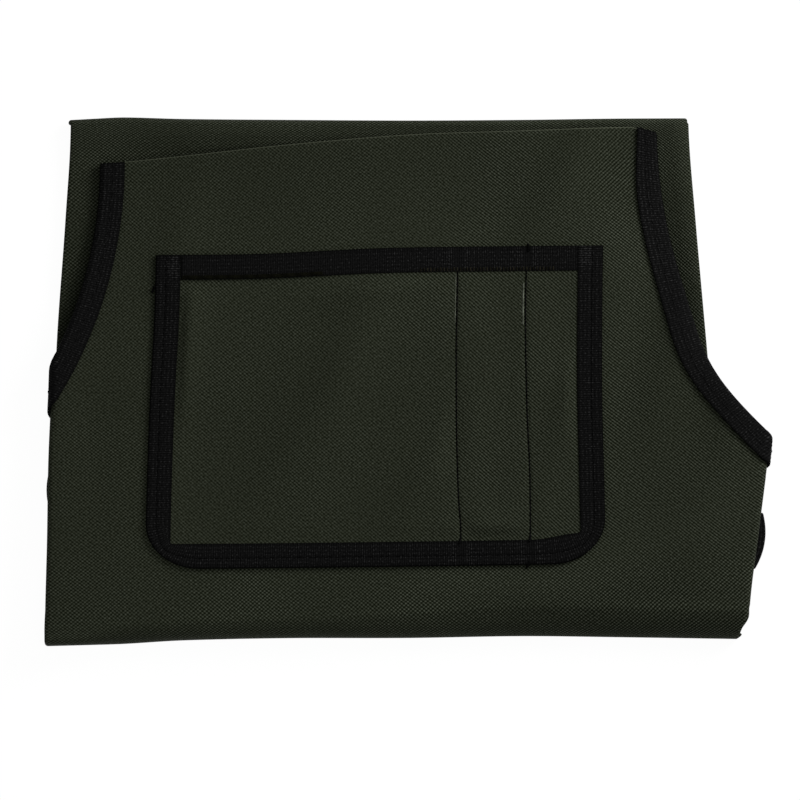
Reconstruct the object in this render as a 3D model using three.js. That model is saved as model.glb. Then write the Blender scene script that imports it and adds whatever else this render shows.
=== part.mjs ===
// Folded tool apron. One cut of Oxford cloth has both sides folded behind it, and its skirt is letter-folded
// under the bib, so that the bib lies on top with its chest pocket up. Black tape is folded over the armhole
// edges and the pocket's edges, and the folds of two webbing waist straps stand out at the sides.
//
// Millimetres. +X runs across the bib, +Y towards the bib's top edge, and +Z up from the surface that
// it lies on. The origin is the middle of its outline, on that surface.

import * as THREE from 'three';
import { mergeVertices } from 'three/addons/utils/BufferGeometryUtils.js';

// Walls and clearances
const CLOTH = 1.0;
const TAPE = 1.0;
const WEBBING = 1.0;
const GAP = 0.3;
const TAPE_GAP = 0.4;
const PLY_GAP = 0.4;
const MERGE_DISTANCE = 1e-3;

// Flat cut of the cloth, from the bib's top edge and its centre line
const BIB_HALF_WIDTH = 120.7;
const ARMHOLE_FLARE = 145;
const ARMHOLE_DEPTH = 175;
const FRONT_LENGTH = 208;
const CENTRE_X = -13.2;
const HEM_CLEARANCE = 3.5;

// The right armhole is pulled in a little, most of all half way down it
const PULL = 4.4;
const PULL_STATION = 0.51;
const PULL_SPREAD = 0.118;
const PULL_START = 60;

// Tapes and straps
const TAPE_WIDTH = 11;
const STRAP_WIDTH = 25;
const STRAP_BULGE = 2.6;

// Distance from the middle of a cloth wall to the outside of a tape that is folded over its edge
const TAPE_REACH = CLOTH / 2 + TAPE_GAP + TAPE;

// Heights of the middle of each cloth layer, from the floor up
const PLY = CLOTH + PLY_GAP;
const BACK_Z = CLOTH / 2;
const INNER_Z = BACK_Z + 3 * PLY;
const STRAP_LOW_Z = INNER_Z + CLOTH / 2 + GAP + WEBBING / 2;
const STRAP_HIGH_Z = STRAP_LOW_Z + WEBBING + GAP;
const FRONT_FLAP_DROP = 2 * TAPE_REACH + PLY_GAP;
const WAIST_Z = STRAP_HIGH_Z + WEBBING / 2 + GAP + TAPE_REACH + FRONT_FLAP_DROP;
const BIB_Z = INNER_Z + CLOTH / 2 + GAP + TAPE_REACH;
const POCKET_LIFT = CLOTH / 2 + GAP + TAPE_REACH;

// The bib lies lower than the waist, which has the folded sides under it
const RISE_START = 0.05;
const RISE_END = 0.55;

// Stations along the fold path: each stretch of the cloth is one unit long
const FRONT = 0;
const BOTTOM_ROLL = 1;
const BACK = 2;
const TOP_ROLL = 3;
const INNER = 4;
const HEM = 5;

// The bottom roll curves down to the floor in a wide quarter, and turns under in a tight one. The top
// roll is even.
const ROLL_REACH = 13;
const NOSE_RADIUS = 2.2;
const NOSE_Z = BACK_Z + NOSE_RADIUS;
const TOP_RADIUS = (INNER_Z - BACK_Z) / 2;

// Lines that run across the bundle, as seen from above
const CROSS_LINES = [
  { x: -160, bibTop: 91.0, bottomFold: -116.4, topFold: 114.8 },
  { x: -125, bibTop: 96.0, bottomFold: -115.4, topFold: 116.6 },
  { x: -100, bibTop: 99.4, bottomFold: -113.9, topFold: 115.9 },
  { x: -55, bibTop: 104.3, bottomFold: -112.9, topFold: 115.5 },
  { x: 0, bibTop: 108.9, bottomFold: -112.8, topFold: 115.2 },
  { x: 50, bibTop: 110.7, bottomFold: -112.0, topFold: 115.5 },
  { x: 95, bibTop: 112.2, bottomFold: -112.5, topFold: 116.1 },
  { x: 160, bibTop: 113.0, bottomFold: -113.5, topFold: 116.2 },
];

// Outermost line of each side fold, against the station along the fold path
const SIDE_FOLDS = [
  { station: 0.00, left: -156.0, right: 162.0 },
  { station: 0.46, left: -156.8, right: 160.4 },
  { station: 0.66, left: -158.4, right: 158.7 },
  { station: 0.84, left: -159.0, right: 154.3 },
  { station: 1.00, left: -159.8, right: 150.2 },
  { station: 1.14, left: -160.1, right: 149.6 },
  { station: 1.27, left: -160.1, right: 146.8 },
  { station: 1.50, left: -160.0, right: 145.4 },
  { station: 2.00, left: -158.6, right: 146.0 },
  { station: 2.50, left: -155.6, right: 131.4 },
  { station: 3.00, left: -148.8, right: 122.9 },
  { station: 3.50, left: -147.8, right: 122.2 },
  { station: 4.00, left: -148.8, right: 123.3 },
  { station: 4.20, left: -151.2, right: 126.3 },
  { station: 4.50, left: -155.4, right: 131.9 },
  { station: 5.00, left: -157.2, right: 141.0 },
];

// Pocket outline, outside its tape: sides against the share of the way down, ends against x
const POCKET_SIDES = [
  { down: 0.00, left: -111.1, right: 85.6 },
  { down: 0.20, left: -111.8, right: 85.2 },
  { down: 0.45, left: -113.6, right: 85.1 },
  { down: 0.70, left: -114.9, right: 85.9 },
  { down: 1.00, left: -115.9, right: 86.9 },
];
const POCKET_ENDS = [
  { x: -116, top: 55.8, bottom: -82.3 },
  { x: -65, top: 56.4, bottom: -81.9 },
  { x: -12, top: 58.9, bottom: -81.3 },
  { x: 50, top: 59.8, bottom: -80.4 },
  { x: 87, top: 60.1, bottom: -79.6 },
];
const POCKET_CORNERS = {
  left: { across: 27, up: 25 },
  right: { across: 34, up: 25 },
};

// Sewn lines that divide the pen slots, and the dent along each
const SLOT_LINES = [
  { top: 21.4, bottom: 22.8 },
  { top: 51.9, bottom: 53.8 },
];
const SLOT_DENT = 1.2;
const SLOT_SPREAD = 3;
const SLOT_FADE_START = 0.095;
const SLOT_FADE_END = 0.17;

// Folds of the waist straps: the middle of each tip, and the strap's length from there to its sewn end
const STRAPS = [
  { name: 'waist_strap_left', side: -1, tipX: -159.0, tipY: -47.6, slant: 0, length: 86 },
  { name: 'waist_strap_right', side: 1, tipX: 156.9, tipY: -70.4, slant: 8.3, length: 82 },
];

// Facets
const PANEL_COLUMNS = 4;
const BEND_COLUMNS = 6;
const FLAP_COLUMNS = 1;
const FOLD_RUNS = [
  { to: BOTTOM_ROLL, steps: 3 },
  { to: BACK, steps: 10 },
  { to: TOP_ROLL, steps: 5 },
  { to: INNER, steps: 6 },
  { to: HEM, steps: 5 },
];

// Degrees of the armhole's ellipse between which its tape goes round each side fold
const LEFT_CROSSING = { from: 30.5, to: 41 };
const RIGHT_CROSSING = { from: 47.5, to: 56.5 };
const CROSSING_STEPS = 15;
const ARMHOLE_STEP = 7;
const QUARTER_TURN = 90;
const ARMHOLE_TAPE_COLUMNS = 7;
const EDGE_ARC_STEPS = 3;
const POCKET_LEG_STEPS = 9;
const POCKET_CORNER_STEPS = 6;
const POCKET_BOTTOM_STEPS = 6;
const POCKET_COLUMNS = 8;
const STRAP_COLUMNS = 4;
const STRAP_BEND_STEPS = 6;

const { lerp, smoothstep, degToRad } = THREE.MathUtils;

// Whole numbers from zero up to and including count, as shares of one
function shares(count) {
  return Array.from({ length: count + 1 }, (unused, i) => i / count);
}

// Stations of several runs, one after the other, with each meeting point once
function stationsOf(start, runs) {
  const stations = [start];
  for (const run of runs) {
    const from = stations.at(-1);
    for (const share of shares(run.steps).slice(1)) {
      stations.push(lerp(from, run.to, share));
    }
  }
  return stations;
}

// Angles round a whole armhole, close together where its tape goes round a side fold
function armholeAngles(crossings) {
  const runs = [];
  let from = 0;
  for (const crossing of crossings) {
    runs.push({ to: crossing.from, steps: Math.ceil((crossing.from - from) / ARMHOLE_STEP) });
    runs.push({ to: crossing.to, steps: CROSSING_STEPS });
    from = crossing.to;
  }
  runs.push({ to: QUARTER_TURN, steps: Math.ceil((QUARTER_TURN - from) / ARMHOLE_STEP) });
  return stationsOf(0, runs).map(degToRad);
}

// A smooth curve through one column of a table, against another: cubic pieces with the mean slope at
// each row
function tableCurve(rows, key, column) {
  const slope = (i, j) => (rows[j][column] - rows[i][column]) / (rows[j][key] - rows[i][key]);
  const last = rows.length - 1;
  const slopes = rows.map((row, i) => slope(Math.max(i - 1, 0), Math.min(i + 1, last)));
  return (at) => {
    const clamped = THREE.MathUtils.clamp(at, rows[0][key], rows[last][key]);
    const found = rows.findIndex((row) => row[key] >= clamped);
    const b = Math.max(found, 1);
    const a = b - 1;
    const span = rows[b][key] - rows[a][key];
    const t = (clamped - rows[a][key]) / span;
    const ease = t * t * (3 - 2 * t);
    const start = t * (1 - t) * (1 - t) * span * slopes[a];
    const end = t * t * (t - 1) * span * slopes[b];
    return lerp(rows[a][column], rows[b][column], ease) + start + end;
  };
}

const bibTop = tableCurve(CROSS_LINES, 'x', 'bibTop');
const bottomFold = tableCurve(CROSS_LINES, 'x', 'bottomFold');
const topFold = tableCurve(CROSS_LINES, 'x', 'topFold');
const leftFold = tableCurve(SIDE_FOLDS, 'station', 'left');
const rightFold = tableCurve(SIDE_FOLDS, 'station', 'right');
const pocketLeft = tableCurve(POCKET_SIDES, 'down', 'left');
const pocketRight = tableCurve(POCKET_SIDES, 'down', 'right');
const pocketTop = tableCurve(POCKET_ENDS, 'x', 'top');
const pocketBottom = tableCurve(POCKET_ENDS, 'x', 'bottom');

// Where the flat stretches meet the two rolls
const bottomAxis = (x) => bottomFold(x) + CLOTH / 2 + ROLL_REACH;
const noseAxis = (x) => bottomFold(x) + CLOTH / 2 + NOSE_RADIUS;
const topAxis = (x) => topFold(x) - CLOTH / 2 - TOP_RADIUS;

// Height of the front layer's middle, from the bib's top edge to the bottom roll
function frontHeight(share) {
  return lerp(BIB_Z, WAIST_Z, smoothstep(share, RISE_START, RISE_END));
}

// Middle of the cloth at x and a station, with the direction that the cloth's front faces, in the Y-Z plane
function foldPath(x, station) {
  const stretch = Math.min(Math.floor(station), INNER);
  const share = station - stretch;
  const turn = Math.PI * share;
  switch (stretch) {
    case FRONT:
      return { y: lerp(bibTop(x), bottomAxis(x), share), z: frontHeight(share), faceY: 0, faceZ: 1 };
    case BOTTOM_ROLL: {
      const upper = share < 0.5;
      const reach = upper ? ROLL_REACH : NOSE_RADIUS;
      const height = upper ? WAIST_Z - NOSE_Z : NOSE_RADIUS;
      const axis = upper ? bottomAxis(x) : noseAxis(x);
      const y = axis - reach * Math.sin(turn);
      const z = NOSE_Z + height * Math.cos(turn);
      const face = new THREE.Vector2(-Math.sin(turn) / reach, Math.cos(turn) / height).normalize();
      return { y, z, faceY: face.x, faceZ: face.y };
    }
    case BACK:
      return { y: lerp(noseAxis(x), topAxis(x), share), z: BACK_Z, faceY: 0, faceZ: -1 };
    case TOP_ROLL: {
      const faceY = Math.sin(turn);
      const faceZ = -Math.cos(turn);
      const middle = BACK_Z + TOP_RADIUS;
      return { y: topAxis(x) + TOP_RADIUS * faceY, z: middle + TOP_RADIUS * faceZ, faceY, faceZ };
    }
    default: {
      const hem = bottomAxis(x) + HEM_CLEARANCE;
      return { y: lerp(topAxis(x), hem, share), z: INNER_Z, faceY: 0, faceZ: 1 };
    }
  }
}

// How far behind the panel its folded side lies: it is pressed flat by the time it gets to the nose
function flapDrop(station) {
  return lerp(FRONT_FLAP_DROP, PLY, THREE.MathUtils.clamp(2 * (station - BOTTOM_ROLL), 0, 1));
}

// Half the cut's width: the armhole is a quarter of an ellipse
function halfWidth(station) {
  const depth = Math.min(station * FRONT_LENGTH / ARMHOLE_DEPTH, 1);
  return BIB_HALF_WIDTH + ARMHOLE_FLARE * (1 - Math.sqrt(1 - depth * depth));
}

// Cloth from the centre line to where the side fold starts, and the radius of that fold
function sideFold(station, side) {
  const outermost = side < 0 ? CENTRE_X - leftFold(station) : rightFold(station) - CENTRE_X;
  const radius = flapDrop(station) / 2;
  return { flat: outermost - CLOTH / 2 - radius, radius };
}

// How far the cloth is pulled in towards the centre line, at a distance from it along the cloth
function pullIn(station, side, along) {
  const offset = (station - PULL_STATION) / PULL_SPREAD;
  const pull = side > 0 ? PULL * Math.exp(-offset * offset) : 0;
  return pull * smoothstep(along, PULL_START, BIB_HALF_WIDTH);
}

// A point of the folded cloth: across is measured along the cloth from its centre line, and lift from the
// middle of the wall towards its front
function placeCloth(station, across, lift) {
  const side = across < 0 ? -1 : 1;
  const cut = Math.abs(across);
  const along = cut - pullIn(station, side, cut);
  const { flat, radius } = sideFold(station, side);
  const turn = THREE.MathUtils.clamp((along - flat) / radius, 0, Math.PI);
  const panel = Math.min(along, flat);
  const flap = Math.max(along - flat - Math.PI * radius, 0);
  const out = panel + radius * Math.sin(turn) - flap + lift * Math.sin(turn);
  const rise = radius * (Math.cos(turn) - 1) + lift * Math.cos(turn);
  const x = CENTRE_X + side * out;
  const path = foldPath(x, station);
  return new THREE.Vector3(x, path.y + rise * path.faceY, path.z + rise * path.faceZ);
}

// Distances across the cloth at a station: panel, side fold and flap, all cut off at the cloth's edge
function acrossColumns(station) {
  const half = halfWidth(station);
  const oneSide = (side) => {
    const { flat, radius } = sideFold(station, side);
    const bend = Math.PI * radius;
    const panelEnd = Math.min(half, flat);
    const flapStart = Math.min(half, flat + bend);
    return [
      ...shares(PANEL_COLUMNS).slice(1).map((share) => panelEnd * share),
      ...shares(BEND_COLUMNS).slice(1).map((share) => Math.min(half, flat + bend * share)),
      ...shares(FLAP_COLUMNS).slice(1).map((share) => lerp(flapStart, half, share)),
    ];
  };
  const left = oneSide(-1).reverse().map((distance) => -distance);
  return [...left, 0, ...oneSide(1)];
}

// Six times the volume that an indexed geometry encloses, positive where its faces point out
function signedVolume(position, index) {
  const [a, b, c] = [new THREE.Vector3(), new THREE.Vector3(), new THREE.Vector3()];
  let total = 0;
  for (let i = 0; i < index.length; i += 3) {
    a.fromBufferAttribute(position, index[i]);
    b.fromBufferAttribute(position, index[i + 1]);
    c.fromBufferAttribute(position, index[i + 2]);
    total += a.dot(b.cross(c));
  }
  return total;
}

// A closed wall between two faces of a grid: point(row, column, face) gives the front with face 1 and
// the back with face -1. A square is split along its longer diagonal, which runs with a fold, and where
// columns run together, their empty triangles are left out.
function wall(rows, columns, point) {
  const positions = [];
  for (const face of [1, -1]) {
    for (let row = 0; row < rows; row += 1) {
      for (let column = 0; column < columns; column += 1) {
        positions.push(...point(row, column, face).toArray());
      }
    }
  }
  const front = (row, column) => row * columns + column;
  const back = (row, column) => rows * columns + front(row, column);
  const triangles = [];
  const corner = (i) => new THREE.Vector3().fromArray(positions, 3 * i);
  const quad = (a, b, c, d) => {
    if (corner(a).distanceTo(corner(c)) >= corner(b).distanceTo(corner(d))) {
      triangles.push(a, b, c, a, c, d);
    } else {
      triangles.push(a, b, d, b, c, d);
    }
  };
  for (let row = 0; row < rows - 1; row += 1) {
    for (let column = 0; column < columns - 1; column += 1) {
      quad(front(row, column), front(row + 1, column), front(row + 1, column + 1), front(row, column + 1));
      quad(back(row, column), back(row, column + 1), back(row + 1, column + 1), back(row + 1, column));
    }
    const end = columns - 1;
    quad(front(row, 0), back(row, 0), back(row + 1, 0), front(row + 1, 0));
    quad(front(row, end), front(row + 1, end), back(row + 1, end), back(row, end));
  }
  for (let column = 0; column < columns - 1; column += 1) {
    const end = rows - 1;
    quad(front(0, column), front(0, column + 1), back(0, column + 1), back(0, column));
    quad(front(end, column), back(end, column), back(end, column + 1), front(end, column + 1));
  }
  const loose = new THREE.BufferGeometry();
  loose.setAttribute('position', new THREE.Float32BufferAttribute(positions, 3));
  loose.setIndex(triangles);
  const geometry = mergeVertices(loose, MERGE_DISTANCE);
  const merged = geometry.index.array;
  const kept = [];
  for (let i = 0; i < merged.length; i += 3) {
    const [a, b, c] = merged.slice(i, i + 3);
    if (a !== b && b !== c && c !== a) {
      kept.push(a, b, c);
    }
  }
  const outwards = signedVolume(geometry.attributes.position, kept) > 0;
  geometry.setIndex(outwards ? kept : kept.reverse());
  geometry.computeVertexNormals();
  return geometry;
}

// Section of a tape folded over an edge: from its free edge in front, round the edge, to its free edge
// behind. inward runs from the cloth's edge into the cloth, and out is the way that the tape's face looks.
function foldedTape(columns) {
  const middle = TAPE_REACH - TAPE / 2;
  const width = TAPE_WIDTH - TAPE_REACH;
  const leg = shares(columns).slice(0, -1).map((share) => width * (1 - share));
  const flat = (face) => (inward) => ({ inward, lift: face * middle, outInward: 0, outLift: face });
  const arc = shares(EDGE_ARC_STEPS).map((share) => {
    const turn = Math.PI * share;
    const outInward = -Math.sin(turn);
    const outLift = Math.cos(turn);
    return { inward: middle * outInward, lift: middle * outLift, outInward, outLift };
  });
  return [...leg.map(flat(1)), ...arc, ...leg.reverse().map(flat(-1))];
}

// Inner or outer face of a folded tape's section
function tapeFace(section, face) {
  const half = face * TAPE / 2;
  return { inward: section.inward + half * section.outInward, lift: section.lift + half * section.outLift };
}

function apronBody() {
  const angles = armholeAngles([LEFT_CROSSING, RIGHT_CROSSING]);
  const armhole = angles.map((angle) => ARMHOLE_DEPTH * Math.sin(angle) / FRONT_LENGTH);
  const stations = [...armhole, ...stationsOf(armhole.at(-1), FOLD_RUNS).slice(1)];
  const columns = stations.map(acrossColumns);
  const point = (row, column, face) => placeCloth(stations[row], columns[row][column], face * CLOTH / 2);
  return wall(stations.length, columns[0].length, point);
}

// Tape along one armhole: it follows the cut's ellipse on the flat cloth, and so goes round the side fold
// with it
function armholeBinding(side) {
  const turns = armholeAngles([side < 0 ? LEFT_CROSSING : RIGHT_CROSSING]);
  const section = foldedTape(ARMHOLE_TAPE_COLUMNS);
  const point = (row, column, face) => {
    const { inward, lift } = tapeFace(section[column], face);
    const sin = Math.sin(turns[row]);
    const cos = Math.cos(turns[row]);
    const slant = Math.hypot(ARMHOLE_FLARE * sin, ARMHOLE_DEPTH * cos);
    const half = BIB_HALF_WIDTH + ARMHOLE_FLARE * (1 - cos) - inward * ARMHOLE_DEPTH * cos / slant;
    const down = ARMHOLE_DEPTH * sin + inward * ARMHOLE_FLARE * sin / slant;
    return placeCloth(down / FRONT_LENGTH, side * half, lift);
  };
  return wall(turns.length, section.length, point);
}

// Middle of the pocket cloth over the bib at x and y, raised by lift
function onPocket(x, y, lift) {
  const share = (bibTop(x) - y) / (bibTop(x) - bottomAxis(x));
  return new THREE.Vector3(x, y, frontHeight(share) + POCKET_LIFT + lift);
}

// Outer and inner edges of the pocket's edge tape down one side and round the lower corner, as points in
// plan. The outer corner is a quarter of an ellipse. The inner one is square, and the inner edge gets to
// it half way.
function pocketRail(side) {
  const left = side < 0;
  const corner = left ? POCKET_CORNERS.left : POCKET_CORNERS.right;
  const sideX = left ? pocketLeft : pocketRight;
  const height = pocketTop(sideX(0)) - pocketBottom(sideX(1));
  const cornerStart = 1 - corner.up / height;
  const innerEnd = 1 - TAPE_WIDTH / height;
  const at = (x, down) => new THREE.Vector2(x, lerp(pocketTop(x), pocketBottom(x), down));
  const leg = shares(POCKET_LEG_STEPS).slice(0, -1).map((share) => {
    const down = cornerStart * share;
    return { outer: at(sideX(down), down), inner: at(sideX(down) - side * TAPE_WIDTH, down) };
  });
  const bend = shares(POCKET_CORNER_STEPS).map((share) => {
    const turn = share * Math.PI / 2;
    const outerDown = lerp(cornerStart, 1, Math.sin(turn));
    const innerDown = lerp(cornerStart, innerEnd, Math.min(Math.tan(turn), 1));
    const outerIn = corner.across * (1 - Math.cos(turn));
    const innerIn = lerp(TAPE_WIDTH, corner.across, Math.max(1 - 1 / Math.tan(turn), 0));
    return {
      outer: at(sideX(outerDown) - side * outerIn, outerDown),
      inner: at(sideX(innerDown) - side * innerIn, innerDown),
    };
  });
  return [...leg, ...bend];
}

// Point of the cloth's own edge under a tape, and the direction from there into the cloth
function clothEdge({ outer, inner }) {
  const into = inner.clone().sub(outer).normalize();
  return { edge: outer.clone().addScaledVector(into, TAPE_REACH), into };
}

// Tape folded over the pocket cloth's edge, between rails of outer and inner points
function pocketBinding(rails) {
  const section = foldedTape(1);
  const point = (row, column, face) => {
    const { inward, lift } = tapeFace(section[column], face);
    const { edge, into } = clothEdge(rails[row]);
    const reach = rails[row].outer.distanceTo(rails[row].inner) - TAPE_REACH;
    const stretch = inward > 0 ? reach / (TAPE_WIDTH - TAPE_REACH) : 1;
    const plan = edge.addScaledVector(into, inward * stretch);
    return onPocket(plan.x, plan.y, lift);
  };
  return wall(rails.length, section.length, point);
}

function pocketEdgeRails() {
  const left = pocketRail(-1);
  const right = pocketRail(1);
  const start = left.at(-1);
  const end = right.at(-1);
  const bottom = shares(POCKET_BOTTOM_STEPS).slice(1, -1).map((share) => {
    const outerX = lerp(start.outer.x, end.outer.x, share);
    const innerX = lerp(start.inner.x, end.inner.x, share);
    return {
      outer: new THREE.Vector2(outerX, pocketBottom(outerX)),
      inner: new THREE.Vector2(innerX, pocketBottom(innerX) + TAPE_WIDTH),
    };
  });
  return [...left, ...bottom, ...right.reverse()];
}

function pocketTopRails() {
  const startX = pocketLeft(0) + TAPE_WIDTH + GAP;
  const endX = pocketRight(0) - TAPE_WIDTH - GAP;
  return shares(POCKET_COLUMNS).map((share) => {
    const x = lerp(startX, endX, share);
    const outer = new THREE.Vector2(x, pocketTop(x));
    return { outer, inner: new THREE.Vector2(x, outer.y - TAPE_WIDTH) };
  });
}

// Depth of the dents along the slot lines at x, a share of the way down the pocket
function slotDent(x, down) {
  const fade = smoothstep(Math.min(down, 1 - down), SLOT_FADE_START, SLOT_FADE_END);
  const dents = SLOT_LINES.map((line) => {
    const offset = (x - lerp(line.top, line.bottom, down)) / SLOT_SPREAD;
    return Math.exp(-offset * offset);
  });
  return SLOT_DENT * fade * Math.max(...dents);
}

// Pocket cloth between its left and right edges, with extra columns beside each slot line
function chestPocket() {
  const left = pocketRail(-1).map((rail) => clothEdge(rail).edge);
  const right = pocketRail(1).map((rail) => clothEdge(rail).edge);
  const wide = pocketRight(0) - pocketLeft(0);
  const slots = SLOT_LINES.flatMap((line) => [-SLOT_SPREAD, 0, SLOT_SPREAD].map((offset) => {
    return (lerp(line.top, line.bottom, 0.5) + offset - pocketLeft(0)) / wide;
  }));
  const across = [...shares(POCKET_COLUMNS), ...slots].sort((a, b) => a - b);
  const downAt = (edge) => {
    const height = pocketTop(edge.x) - pocketBottom(edge.x);
    return Math.max(pocketTop(edge.x) - edge.y, TAPE_REACH) / height;
  };
  const point = (row, column, face) => {
    const x = lerp(left[row].x, right[row].x, across[column]);
    const down = lerp(downAt(left[row]), downAt(right[row]), across[column]);
    const y = lerp(pocketTop(x), pocketBottom(x), down);
    return onPocket(x, y, face * CLOTH / 2 - slotDent(x, down));
  };
  return wall(left.length, across.length, point);
}

// One waist strap: two plies of webbing that meet in the fold at its tip, which bulges a little
function waistStrap({ side, tipX, tipY, slant, length }) {
  const radius = (STRAP_HIGH_Z - STRAP_LOW_Z) / 2;
  const middle = (STRAP_HIGH_Z + STRAP_LOW_Z) / 2;
  const bendAt = length - radius - WEBBING / 2;
  const bend = shares(STRAP_BEND_STEPS).map((share) => {
    const turn = Math.PI * share;
    return { along: bendAt + radius * Math.sin(turn), sin: Math.sin(turn), cos: Math.cos(turn) };
  });
  const path = [{ along: 0, sin: 0, cos: 1 }, ...bend, { along: 0, sin: 0, cos: -1 }];
  const across = shares(STRAP_COLUMNS).map((share) => 2 * share - 1);
  const axis = new THREE.Vector2(side * Math.cos(degToRad(slant)), -Math.sin(degToRad(slant)));
  const widthways = new THREE.Vector2(-axis.y, axis.x);
  const point = (row, column, face) => {
    const { along, sin, cos } = path[row];
    const pulledBack = STRAP_BULGE * across[column] ** 2 * along / length;
    const reach = along + face * sin * WEBBING / 2 - pulledBack - length;
    const plan = new THREE.Vector2(tipX, tipY);
    plan.addScaledVector(axis, reach).addScaledVector(widthways, across[column] * STRAP_WIDTH / 2);
    return new THREE.Vector3(plan.x, plan.y, middle + cos * (radius + face * WEBBING / 2));
  };
  return wall(path.length, across.length, point);
}

// Each piece has a material of its own, so that it can be coloured by itself
const oxfordCloth = () => new THREE.MeshStandardMaterial({ color: 0x25281f, roughness: 0.85, metalness: 0 });
const wovenTape = () => new THREE.MeshStandardMaterial({ color: 0x0f0f0f, roughness: 0.8, metalness: 0 });
const webbing = () => new THREE.MeshStandardMaterial({ color: 0x121212, roughness: 0.75, metalness: 0 });

const apron = new THREE.Group();

function addPiece(name, geometry, material) {
  const piece = new THREE.Mesh(geometry, material);
  piece.name = name;
  apron.add(piece);
}

addPiece('apron_body', apronBody(), oxfordCloth());
addPiece('armhole_binding_left', armholeBinding(-1), wovenTape());
addPiece('armhole_binding_right', armholeBinding(1), wovenTape());
addPiece('chest_pocket', chestPocket(), oxfordCloth());
addPiece('pocket_top_binding', pocketBinding(pocketTopRails()), wovenTape());
addPiece('pocket_edge_binding', pocketBinding(pocketEdgeRails()), wovenTape());
for (const strap of STRAPS) {
  addPiece(strap.name, waistStrap(strap), webbing());
}

export default apron;
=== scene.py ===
"""Looks of a folded tool apron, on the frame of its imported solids.

One cut of dark olive Oxford cloth has both sides folded behind it, and its skirt is letter-folded under the bib,
so that the bib lies on top with its chest pocket up. Black tape binds the armholes and the pocket, and the folds
of two webbing waist straps stand out at the sides.

Metres. +X runs across the bib, +Y towards the bib's top edge, and +Z up from the floor that it lies on.
"""

import logging
import math
from abc import ABC, abstractmethod
from collections.abc import Callable
from dataclasses import dataclass, field
from enum import Enum

import bpy
import numpy as np
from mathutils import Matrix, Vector
from numpy.typing import NDArray


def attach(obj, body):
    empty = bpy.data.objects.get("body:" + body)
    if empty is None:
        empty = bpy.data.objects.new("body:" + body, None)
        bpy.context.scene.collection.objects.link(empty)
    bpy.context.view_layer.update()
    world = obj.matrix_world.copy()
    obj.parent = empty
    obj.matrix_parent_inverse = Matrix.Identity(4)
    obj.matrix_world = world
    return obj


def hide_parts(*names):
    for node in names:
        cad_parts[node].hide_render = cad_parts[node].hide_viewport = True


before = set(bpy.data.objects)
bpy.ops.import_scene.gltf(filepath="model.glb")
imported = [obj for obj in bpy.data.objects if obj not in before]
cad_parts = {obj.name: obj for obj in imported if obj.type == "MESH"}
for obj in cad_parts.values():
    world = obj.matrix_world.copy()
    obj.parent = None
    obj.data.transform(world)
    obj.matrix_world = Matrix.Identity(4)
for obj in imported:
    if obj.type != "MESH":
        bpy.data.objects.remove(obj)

Array = NDArray[np.float64]
Curve = Callable[[Array], Array]
Span = tuple[float, float]
LOG = logging.getLogger("tool_apron")

MM = 0.001

# Walls and clearances
CLOTH = TAPE = WEBBING = 1.0 * MM
GAP = 0.3 * MM
TAPE_GAP = PLY_GAP = 0.4 * MM
WAIST_SLACK = 1.2 * MM

# Width of a tape on one face, width of a strap, and the distance from the middle of a cloth wall to the outside of
# a tape that is folded over its edge
TAPE_WIDTH = 11 * MM
STRAP_WIDTH = 25 * MM
TAPE_REACH = CLOTH / 2 + TAPE_GAP + TAPE

# Angles round a half-round edge, in degrees, at which it gets its grid lines
RIM_ANGLES = (0, 25, 50, 70, 90)

# Heights of the middle of each layer, from the floor up, and half the height between the back and inner ones
PLY = CLOTH + PLY_GAP
BACK_Z = CLOTH / 2
INNER_Z = BACK_Z + 3 * PLY
STRAP_LOW_Z = INNER_Z + CLOTH / 2 + GAP + WEBBING / 2
STRAP_HIGH_Z = STRAP_LOW_Z + WEBBING + GAP
FRONT_FLAP_DROP = 2 * TAPE_REACH + PLY_GAP
WAIST_Z = STRAP_HIGH_Z + WEBBING / 2 + GAP + TAPE_REACH + FRONT_FLAP_DROP + WAIST_SLACK
BIB_Z = INNER_Z + CLOTH / 2 + GAP + TAPE_REACH
TOP_RADIUS = (INNER_Z - BACK_Z) / 2

# The pocket lies close on the bib: walls, clearance, reach of its tape, and height of its middle over the bib's
POCKET_CLOTH = 0.6 * MM
POCKET_TAPE = 0.5 * MM
POCKET_GAP = 0.1 * MM
POCKET_REACH = POCKET_CLOTH / 2 + POCKET_GAP + POCKET_TAPE
POCKET_LIFT = CLOTH / 2 + POCKET_GAP + POCKET_REACH

# Lines that run across the bundle, in millimetres: x, bib's top edge, bottom fold, top fold
CROSS_LINES = MM * np.array([
    (-160, 95.4, -116.4, 114.8),
    (-137, 96.2, -115.8, 116.1),
    (-125, 96.9, -115.4, 116.6),
    (-100, 99.4, -113.9, 115.9),
    (-55, 104.3, -112.9, 115.5),
    (0, 108.9, -112.8, 115.2),
    (50, 110.7, -112.0, 115.5),
    (95, 112.2, -112.5, 116.1),
    (160, 113.0, -113.5, 116.2),
])

# Outermost line of each side fold: station along the fold path, then left and right in millimetres
SIDE_FOLDS = np.array([1, MM, MM]) * [
    (0.00, -156.0, 162.0),
    (0.46, -156.8, 160.4),
    (0.66, -158.4, 158.7),
    (0.84, -159.0, 154.3),
    (1.00, -159.8, 150.2),
    (1.14, -160.1, 149.6),
    (1.27, -160.1, 146.8),
    (1.50, -160.0, 145.4),
    (2.00, -158.6, 146.0),
    (2.50, -155.6, 131.4),
    (3.00, -148.8, 122.9),
    (3.50, -149.8, 122.8),
    (4.00, -148.8, 123.3),
    (4.20, -151.2, 126.3),
    (4.50, -155.4, 131.9),
    (5.00, -157.2, 141.0),
]

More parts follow.
